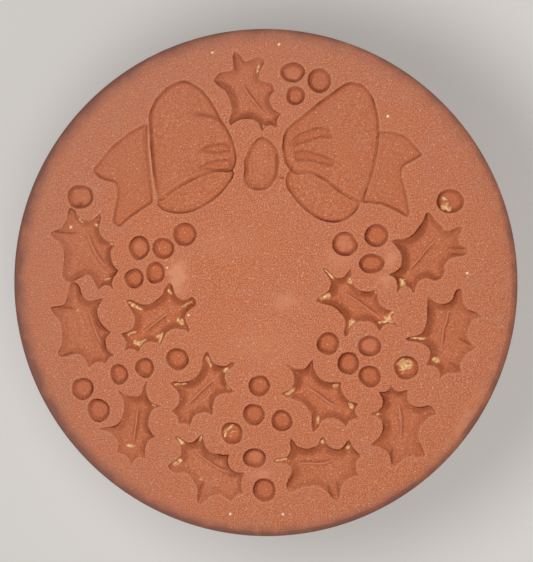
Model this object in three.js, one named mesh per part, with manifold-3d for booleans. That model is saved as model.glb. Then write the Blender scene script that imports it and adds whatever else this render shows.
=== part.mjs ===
// Terracotta cookie stamp. A thick clay disc is pressed in a mould, with a holly wreath and a ribbon bow
// sunk in its face, so that they stand up on the pressed biscuit. A turned clay handle is set on its back
// with slip, and a coil of soft clay is smoothed round the joint. All three are then fired as one.
//
// Millimetres. +Z is up: the stamp stands on the end of its handle with its face up, and +Y is the top of
// the wreath. The origin is the centre of the handle's end.

import * as THREE from "three";
import { mergeVertices } from "three/addons/utils/BufferGeometryUtils.js";
import Module from "manifold-3d";

const wasm = await Module();
wasm.setup();

// Driving dimensions.
const STAMP_DIAMETER = 50.8;
const STAMP_HEIGHT = 40;
const HEAD_THICKNESS = 6.8;

const FACE_Z = STAMP_HEIGHT;
const BACK_Z = FACE_Z - HEAD_THICKNESS;
const HEAD_R = STAMP_DIAMETER / 2;

const CLAY = new THREE.Color().setRGB(0.76, 0.46, 0.335, THREE.SRGBColorSpace);

// A closed three.js geometry as a solid that can be cut and joined.
function solidOf(geometry) {
  const bare = geometry.clone();
  bare.deleteAttribute("normal");
  bare.deleteAttribute("uv");
  const merged = mergeVertices(bare, 1e-4);
  return new wasm.Manifold(
    new wasm.Mesh({
      numProp: 3,
      vertProperties: merged.attributes.position.array,
      triVerts: new Uint32Array(merged.index.array),
    }),
  );
}

// A solid back as a geometry with flat facets.
function geometryOf(solid) {
  const { vertProperties, triVerts } = solid.getMesh();
  const indexed = new THREE.BufferGeometry();
  indexed.setAttribute("position", new THREE.BufferAttribute(vertProperties, 3));
  indexed.setIndex(new THREE.BufferAttribute(triVerts, 1));
  const faceted = indexed.toNonIndexed();
  faceted.computeVertexNormals();
  return faceted;
}

// A clay piece of the stamp.
function clayMesh(name, geometry) {
  const clay = new THREE.MeshStandardMaterial({ color: CLAY, roughness: 0.9, metalness: 0 });
  const mesh = new THREE.Mesh(geometry, clay);
  mesh.name = name;
  return mesh;
}

// A body turned about the stamp's axis from points of radius and height.
function turned(profile, sides) {
  return new THREE.LatheGeometry(profile, sides).rotateX(Math.PI / 2);
}

// A quarter-round edge from one angle to another, in degrees, about a centre in the profile.
function roundEdge(centreR, centreZ, radius, fromDeg, toDeg, steps) {
  return Array.from({ length: steps + 1 }, (_, i) => {
    const angle = THREE.MathUtils.degToRad(fromDeg + ((toDeg - fromDeg) * i) / steps);
    return new THREE.Vector2(centreR + radius * Math.cos(angle), centreZ + radius * Math.sin(angle));
  });
}

// A body with one ring of points above the other, all with as many points and going counter-clockwise
// seen from above, closed flat at the top and bottom.
function lofted(rings) {
  const count = rings[0].length;
  const triangles = [];
  for (let k = 0; k + 1 < rings.length; k++) {
    for (let i = 0; i < count; i++) {
      const next = (i + 1) % count;
      const upper = k * count;
      const lower = upper + count;
      triangles.push(upper + i, lower + i, lower + next, upper + i, lower + next, upper + next);
    }
  }
  const cap = (ring) => THREE.ShapeUtils.triangulateShape(ring.map((p) => new THREE.Vector2(p.x, p.y)), []);
  const last = (rings.length - 1) * count;
  for (const [a, b, c] of cap(rings[0])) triangles.push(a, b, c);
  for (const [a, b, c] of cap(rings.at(-1))) triangles.push(last + c, last + b, last + a);
  return new THREE.BufferGeometry().setFromPoints(rings.flat()).setIndex(triangles);
}

// Sinking a shape in the face: its walls lean in towards a line that runs along its middle.
const WALL_DRAFT = 0.4;
const SHOULDER_DRAFT = 0.12;
const SHOULDER_SHARE = 0.6;
const ABOVE_FACE = 0.5;

// The cutter for an outline whose floor is depths[0] deep at the start of its middle line, and depths[1]
// at its end.
function recess(outline, middle, depths) {
  const [start, end] = middle.map(([x, y]) => new THREE.Vector3(x, y, 0));
  const line = new THREE.Line3(start, end);
  const onLine = new THREE.Vector3();
  const ring = (inset, share) =>
    outline.map((point) => {
      const along = line.closestPointToPointParameter(point, true);
      line.at(along, onLine);
      const moved = point.clone().addScaledVector(onLine.clone().sub(point).normalize(), inset);
      return moved.setZ(FACE_Z - share * THREE.MathUtils.lerp(depths[0], depths[1], along));
    });
  const above = outline.map((point) => point.clone().setZ(FACE_Z + ABOVE_FACE));
  return solidOf(lofted([above, ring(0, 0), ring(SHOULDER_DRAFT, SHOULDER_SHARE), ring(WALL_DRAFT, 1)]));
}

// The cutter for a round or long hollow like the bowl of a spoon, sunk from the given height.
function bowl([x, y], [halfLength, halfWidth], depth, turnDeg = 0, top = FACE_Z) {
  const ball = new THREE.SphereGeometry(1, 12, 8).rotateX(Math.PI / 2);
  ball.scale(halfLength, halfWidth, depth).rotateZ(THREE.MathUtils.degToRad(turnDeg));
  return solidOf(ball.translate(x, y, top));
}

// A smooth closed outline through a few points given counter-clockwise.
function smoothOutline(points, count) {
  const through = points.map(([x, y]) => new THREE.Vector3(x, y, 0));
  return new THREE.CatmullRomCurve3(through, true, "centripetal").getPoints(count).slice(0, -1);
}

// The wreath is laid out on the face from its own centre, which lies a little to the right of the axis.
const WREATH_SHIFT = 0.3;

// Holly leaves. Each has its midrib, from the stalk's end, and its spines clockwise, in mm from the wreath's
// centre. From one spine to the next the edge is a hollow scallop, whose depth is a share of the distance
// between them: SCALLOP, or the spine's own third number.
const SCALLOP = 0.28;
const LEAVES = [
  {
    rib: [[-2.5, 19.9], [0, 16.7]],
    spines: [[-2.95, 23, 0.14], [-0.2, 22.15, 0.33], [0.75, 19.6], [1.6, 16.75, 0.15], [1.25, 15.4, 0.15],
      [-0.35, 15.15], [-3.5, 15.8, 0.21], [-5.15, 20.15, 0.2]],
  },
  {
    rib: [[-18.4, 5.1], [-16.2, 1.5]],
    spines: [[-19.6, 7.1], [-16.9, 6.8], [-15.45, 3.95], [-15.05, 1.15, 0.2], [-15.5, -0.7, 0.3],
      [-17, -0.75], [-20.75, 0.25, 0.16], [-21.8, 5, 0.1]],
  },
  {
    rib: [[-18.2, -2.6], [-16.6, -6.6]],
    spines: [[-19.5, -0.5], [-16.6, -1.65, 0.33], [-15.9, -5], [-15.5, -7.35, 0.15], [-16.4, -8.2, 0.15],
      [-18.1, -8.6], [-21.2, -7.25, 0.17], [-21.9, -2.65, 0.22]],
  },
  {
    rib: [[-10, -3], [-12.8, -5]],
    spines: [[-14.05, -1.95], [-9.75, -0.35], [-7.15, -2.2, 0.33], [-7.75, -4.95], [-10.7, -6.35],
      [-13, -7.1, 0.2], [-14.3, -6.8, 0.2], [-14.6, -5.25, 0.34]],
  },
  {
    rib: [[-5.4, -9.8], [-8, -12.3]],
    spines: [[-5.85, -7.05], [-3.2, -8.1, 0.36], [-3.2, -10.95, 0.33], [-5.5, -13.3], [-7.7, -14.5, 0.2],
      [-8.85, -14.3, 0.2], [-9.5, -13], [-9.6, -10]],
  },
  {
    rib: [[-13.1, -12.6], [-13.6, -16.3]],
    spines: [[-12.15, -10.1], [-10.7, -12.5, 0.33], [-11.3, -15.6, 0.2], [-12.3, -17.8], [-13.75, -18.5],
      [-15.15, -17.2], [-16.9, -14.8], [-14.95, -11, 0.33]],
  },
  {
    rib: [[-7.3, -17], [-3.4, -19.4]],
    spines: [[-9.15, -15.7], [-6.4, -15.35], [-3.85, -17.45], [-2.2, -19.15, 0.12], [-2.3, -21.1, 0.1],
      [-3.6, -21.95], [-6.8, -22.2, 0.25], [-9.85, -18.5, 0.33]],
  },
  {
    rib: [[4, -10.5], [7.4, -12.5]],
    spines: [[1.98, -8.2], [4.73, -7.75], [7.5, -10, 0.22], [9.25, -12.1], [9.4, -13.5, 0.2],
      [8.05, -14.3, 0.35], [4.75, -14.9], [1.65, -11.1, 0.36]],
  },
  {
    rib: [[3.1, -18.2], [6.9, -17.8]],
    spines: [[2.7, -15.75, 0.34], [5.75, -15.55, 0.35], [8.4, -15.9, 0.12], [9.55, -17.2, 0.2],
      [9.25, -19.15, 0.2], [7.2, -21.7, 0.22], [2.7, -20.9], [0.8, -17.8]],
  },
  {
    rib: [[13.2, -12.1], [13.5, -15.1]],
    spines: [[12.5, -10.2, 0.2], [14.05, -10.65, 0.21], [16.9, -12.8], [15.85, -17.15, 0.17], [12.9, -18.2, 0.17],
      [10.45, -16.05, 0.42], [10.4, -13.05, 0.36], [11.4, -10.9, 0.2]],
  },
  {
    rib: [[18.1, -2.6], [17.4, -6.9]],
    spines: [[16.1, -1.35, 0.33], [19.3, -0.6, 0.2], [21.3, -3.4, 0.35], [20.8, -6.4, 0.22], [19.4, -8.9, 0.15],
      [17.35, -9.4], [16, -8.15, 0.4], [14, -5.55]],
  },
  {
    rib: [[16.9, 4.3], [14.3, 1.3]],
    spines: [[16.2, 6.8, 0.33], [19.35, 5.45, 0.22], [19.95, 3.15, 0.22], [17.3, 0.4], [14.75, -0.95, 0.33],
      [13.1, -0.95, 0.22], [12.35, 0.8, 0.37], [12.55, 4.1, 0.22]],
  },
  {
    rib: [[7.7, -0.8], [11.2, -3.4]],
    spines: [[5.75, 1.4, 0.38], [8.45, 1.25, 0.33], [11.2, -0.75], [12.95, -2.85], [13.15, -4.35],
      [11.4, -4.75, 0.36], [8, -5.3], [5.05, -1.75, 0.4]],
  },
];
const LEAF_DEPTH = 0.85;
const SCALLOP_STEPS = 5;
const RIB_HEIGHT = 0.35;
const RIB_WIDTH = 0.42;

function hollyOutline(spines) {
  const around = [...spines].reverse();
  return around.flatMap(([x, y], i) => {
    const [nextX, nextY, depth = SCALLOP] = around[(i + 1) % around.length];
    const [alongX, alongY] = [nextX - x, nextY - y];
    return Array.from({ length: SCALLOP_STEPS }, (_, k) => {
      const t = k / SCALLOP_STEPS;
      const inwards = depth * Math.sin(Math.PI * t);
      return new THREE.Vector3(x + alongX * t - alongY * inwards, y + alongY * t + alongX * inwards, 0);
    });
  });
}

// The midrib is a thin ridge left standing on the leaf's floor, so it is taken out of the leaf's cutter.
function midrib([start, end]) {
  const [a, b] = [new THREE.Vector3(...start, 0), new THREE.Vector3(...end, 0)];
  const across = b.clone().sub(a).normalize().cross(new THREE.Vector3(0, 0, 1)).multiplyScalar(RIB_WIDTH / 2);
  const side = (t, way) => a.clone().lerp(b, t).addScaledVector(across, way);
  const foot = [a, side(0.25, 1), side(0.75, 1), b, side(0.75, -1), side(0.25, -1)];
  const crest = foot.map((p) => a.clone().lerp(b, 0.5).lerp(p, 0.9));
  const slimCrest = crest.map((p, i) => (i % 3 ? p.addScaledVector(across, i < 3 ? -0.7 : 0.7) : p));
  const floorZ = FACE_Z - LEAF_DEPTH;
  const rings = [
    slimCrest.map((p) => p.clone().setZ(floorZ + RIB_HEIGHT)),
    foot.map((p) => p.clone().setZ(floorZ - RIB_HEIGHT)),
  ];
  return solidOf(lofted(rings));
}

function leafCutter({ rib, spines }) {
  return recess(hollyOutline(spines), rib, [LEAF_DEPTH, LEAF_DEPTH]).subtract(midrib(rib));
}

// Berries: the centre of each, and its radius, or its radii across and up where it is out of round.
const BERRY_DEPTH = 0.8;
const BERRIES = [
  [[2.75, 20.85], [1.2, 0.95]], [[5.4, 20], [1.15]], [[3, 18.55], [0.92]],
  [[18.35, 8.05], [1.3, 1.15]], [[7.95, 3.85], [1.2]], [[11.1, 4.65], [1.12]], [[10.6, 1.9], [1.2, 0.92]],
  [[6.25, -6.05], [1.08]], [[10.4, -6.3], [1.12, 0.95]], [[8.3, -8.05], [1.05]], [[10.4, -9.3], [1.05]],
  [[14, -8.4], [1.15]],
  [[-0.65, -10.35], [1.02]], [[-1.2, -13.2], [1.05]], [[1.6, -13.8], [1.02]], [[-3.4, -15.15], [1.08]],
  [[-1.15, -17.6], [1.12, 0.95]], [[-0.15, -20.85], [1.15]],
  [[-8.95, -7.75], [1.1]], [[-12.3, -8.65], [0.93]], [[-14.9, -9.35], [0.88, 1]], [[-18.7, -10.8], [1.07]],
  [[-17.05, -13], [1.12]],
  [[-18.8, 8.6], [1.2, 1.12]], [[-12.8, 3.45], [1.02, 1.15]], [[-10.35, 3.4], [1.05]], [[-8.15, 4.8], [1.15]],
  [[-13.35, 0.35], [0.95]], [[-11.15, 0.95], [0.92, 1.12]],
];

function berryCutter([centre, [across, up = across]]) {
  return bowl(centre, [across, up], BERRY_DEPTH);
}

// The ribbon bow. Each loop is a front band that deepens from the knot to its end, and the inside of the loop
// under it, which is shallower. The tails come from behind the loops, and end in a notch.
const LOOPS = [
  {
    band: [[-2.95, 12.2], [-3.25, 14], [-4.4, 16.2], [-6.4, 19.2], [-8.3, 20.1], [-10.4, 19.1], [-11.75, 17],
      [-11.9, 14.6], [-11.5, 11.6], [-11, 9], [-10.7, 8.2], [-9.2, 9.2], [-7, 10.4], [-5, 11.05], [-3.4, 11.15]],
    bandMiddle: [[-4.4, 12.6], [-9, 16.6]],
    inside: [[-3.5, 11.3], [-7, 10.7], [-9.6, 9.3], [-10.9, 8.1], [-10.6, 7.4], [-8.6, 6.9], [-6.9, 7.3],
      [-5, 8.45], [-3.8, 9.7], [-3.2, 10.8]],
    insideMiddle: [[-4.6, 10.3], [-9.4, 7.9]],
  },
  {
    band: [[2.9, 11], [4.5, 10.8], [6.1, 9.9], [7.8, 8.7], [9.1, 8], [9.9, 9.1], [10.8, 11.9], [11.2, 15],
      [10.9, 17.8], [9.9, 19.4], [8.4, 19.75], [6.6, 18.7], [4.2, 16.9], [2.1, 15.1], [1.75, 13.4], [2, 12]],
    bandMiddle: [[3.4, 13.2], [8.9, 16.4]],
    inside: [[2.5, 11.1], [2.15, 10.3], [2.8, 9], [4.1, 7.4], [5.2, 6.55], [6.8, 6.05], [8.2, 6.4], [9.3, 7.9],
      [7.9, 9], [6.1, 10.2], [4.5, 11.1]],
    insideMiddle: [[3.4, 10], [7.6, 7.3]],
  },
];
const BAND_DEPTHS = [0.45, 0.8];
const INSIDE_DEPTH = 0.28;
const BAND_STEPS = 40;
const INSIDE_STEPS = 24;

const TAILS = [
  {
    edge: [[-12.25, 15.75], [-13.9, 14.95], [-15.8, 13.4], [-17.5, 11.2], [-16.7, 10.4], [-15.3, 10], [-15.05, 9],
      [-15.45, 6.2], [-14.9, 5.6], [-13.6, 6.6], [-12, 7.9], [-11.85, 10], [-12.15, 13]],
    middle: [[-13.1, 13.2], [-13.6, 8.6]],
  },
  {
    edge: [[11.65, 14.95], [11.4, 12], [10.6, 9.6], [10, 7.95], [11.6, 7.65], [13.3, 6.9], [14.15, 6.9], [14.1, 9],
      [13.65, 11.2], [14.4, 12], [15.5, 12.6], [14.9, 13.7], [13.6, 14.6]],
    middle: [[12.7, 13.3], [12.2, 8.9]],
  },
];
const TAIL_DEPTH = 0.38;

const KNOT = { centre: [-0.4, 11.85], radii: [1.6, 2.5], depth: 0.5 };

// Pleats by the knot: the middle of each, half its length and width, and the way it runs, in degrees.
const PLEATS = [
  [[-5.1, 13.6], [1.8, 0.45], 2], [[-5.4, 12.05], [1.9, 0.42], 10],
  [[4.4, 14.4], [2.2, 0.55], 13], [[4.8, 12.5], [2.1, 0.52], -9],
];
const PLEAT_DEPTH = 0.75;

function bowCutters() {
  const loops = LOOPS.flatMap(({ band, bandMiddle, inside, insideMiddle }) => [
    recess(smoothOutline(band, BAND_STEPS), bandMiddle, BAND_DEPTHS),
    recess(smoothOutline(inside, INSIDE_STEPS), insideMiddle, [INSIDE_DEPTH, INSIDE_DEPTH]),
  ]);
  const tails = TAILS.map(({ edge, middle }) => {
    const corners = edge.map(([x, y]) => new THREE.Vector3(x, y, 0));
    return recess(corners, middle, [TAIL_DEPTH, TAIL_DEPTH]);
  });
  const pleats = PLEATS.map(([centre, radii, turn]) => bowl(centre, radii, PLEAT_DEPTH, turn));
  return [...loops, ...tails, ...pleats, bowl(KNOT.centre, KNOT.radii, KNOT.depth)];
}

// The head: a turned blank with a round rim, its wreath sunk in the face. Its back slopes to a flat seat for
// the handle.
const RIM_ROUND = 1.5;
const BACK_ROUND = 1.5;
const SEAT_R = 14;
const BACK_SLOPE = 1.5;
const HEAD_SIDES = 96;

function headBlank() {
  const backEdgeZ = BACK_Z + BACK_SLOPE + BACK_ROUND;
  const profile = [
    new THREE.Vector2(0, BACK_Z),
    new THREE.Vector2(SEAT_R, BACK_Z),
    ...roundEdge(HEAD_R - BACK_ROUND, backEdgeZ, BACK_ROUND, -81, 0, 4),
    ...roundEdge(HEAD_R - RIM_ROUND, FACE_Z - RIM_ROUND, RIM_ROUND, 0, 90, 5),
    new THREE.Vector2(0, FACE_Z),
  ];
  return solidOf(turned(profile, HEAD_SIDES));
}

function stampHead() {
  const cutters = [...LEAVES.map(leafCutter), ...BERRIES.map(berryCutter), ...bowCutters()];
  const wreath = wasm.Manifold.union(cutters).translate([WREATH_SHIFT, 0, 0]);
  return clayMesh("stamp_head", geometryOf(headBlank().subtract(wreath)));
}

// The handle: a waisted knob turned on the wheel, with a flat end that the stamp stands on.
const HANDLE_FOOT_R = 8.8;
const HANDLE_BELLY_R = 11.2;
const HANDLE_WAIST_R = 7.7;
const HANDLE_ROOT_R = 8.6;
const HANDLE_SIDES = 56;
const HANDLE_STEPS = 20;

function handleProfile() {
  const side = new THREE.SplineCurve([
    new THREE.Vector2(HANDLE_FOOT_R, 0),
    new THREE.Vector2(HANDLE_BELLY_R - 0.9, 1),
    new THREE.Vector2(HANDLE_BELLY_R, 4.4),
    new THREE.Vector2(HANDLE_BELLY_R - 1, 9),
    new THREE.Vector2(HANDLE_WAIST_R + 0.5, 15.5),
    new THREE.Vector2(HANDLE_WAIST_R, 21),
    new THREE.Vector2(HANDLE_WAIST_R + 0.25, 27),
    new THREE.Vector2(HANDLE_ROOT_R, BACK_Z),
  ]);
  return side.getPoints(HANDLE_STEPS);
}

function handle() {
  const profile = [new THREE.Vector2(0, 0), ...handleProfile(), new THREE.Vector2(0, BACK_Z)];
  return clayMesh("handle", turned(profile, HANDLE_SIDES));
}

// The luting coil: a roll of soft clay pressed into the corner between handle and back, and smoothed hollow.
// It follows the handle's own profile on its inner side.
const COIL_REACH = 4.6;
const COIL_HEIGHT = 5.2;
const COIL_LIP = 0.35;
const COIL_STEPS = 8;

function lutingCoil() {
  const inner = handleProfile().filter((p) => p.y > BACK_Z - COIL_HEIGHT);
  const low = inner[0];
  const outerR = HANDLE_ROOT_R + COIL_REACH;
  const hollow = new THREE.CubicBezierCurve(
    new THREE.Vector2(low.x, low.y),
    new THREE.Vector2(low.x + COIL_LIP * 3, low.y + (BACK_Z - low.y) * 0.45),
    new THREE.Vector2(outerR - COIL_REACH * 0.5, BACK_Z - COIL_LIP * 2),
    new THREE.Vector2(outerR, BACK_Z),
  );
  const profile = [...hollow.getPoints(COIL_STEPS), ...inner.toReversed()];
  return clayMesh("luting_coil", turned(profile, HANDLE_SIDES));
}

const stamp = new THREE.Group();
stamp.add(stampHead(), handle(), lutingCoil());

export default stamp;
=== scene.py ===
import math

import bpy
import numpy as np
from mathutils import Matrix, Vector


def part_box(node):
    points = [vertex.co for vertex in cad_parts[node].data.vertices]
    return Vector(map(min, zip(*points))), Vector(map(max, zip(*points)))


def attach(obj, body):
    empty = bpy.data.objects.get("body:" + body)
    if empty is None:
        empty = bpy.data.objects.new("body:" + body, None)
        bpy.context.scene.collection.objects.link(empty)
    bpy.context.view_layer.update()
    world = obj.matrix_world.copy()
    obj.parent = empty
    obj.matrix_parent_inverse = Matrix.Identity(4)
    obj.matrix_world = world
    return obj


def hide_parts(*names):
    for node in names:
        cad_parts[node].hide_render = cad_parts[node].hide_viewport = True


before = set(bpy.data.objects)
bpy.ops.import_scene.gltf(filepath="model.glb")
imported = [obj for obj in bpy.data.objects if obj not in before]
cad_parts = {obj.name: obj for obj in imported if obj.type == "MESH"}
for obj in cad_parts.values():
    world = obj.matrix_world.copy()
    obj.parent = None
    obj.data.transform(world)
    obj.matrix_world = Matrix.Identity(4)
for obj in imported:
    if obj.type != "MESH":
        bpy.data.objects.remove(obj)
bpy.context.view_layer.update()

# The head is a disc of red clay pressed in a mould, which leaves a holly wreath and a ribbon bow sunk in its
# face. Its rim is sponged round, and it is fired once without glaze. Pale dough has dried in the sharp tips
# of the leaves. All lengths here are in mm until a piece is made.

METRES = 0.001
head_low, head_high = (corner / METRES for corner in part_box("stamp_head"))
HEAD_R = (head_high.x - head_low.x) / 2
FACE_Z = head_high.z
BACK_Z = head_low.z
WREATH_X, WREATH_Y = 0.5, 0.15

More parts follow.
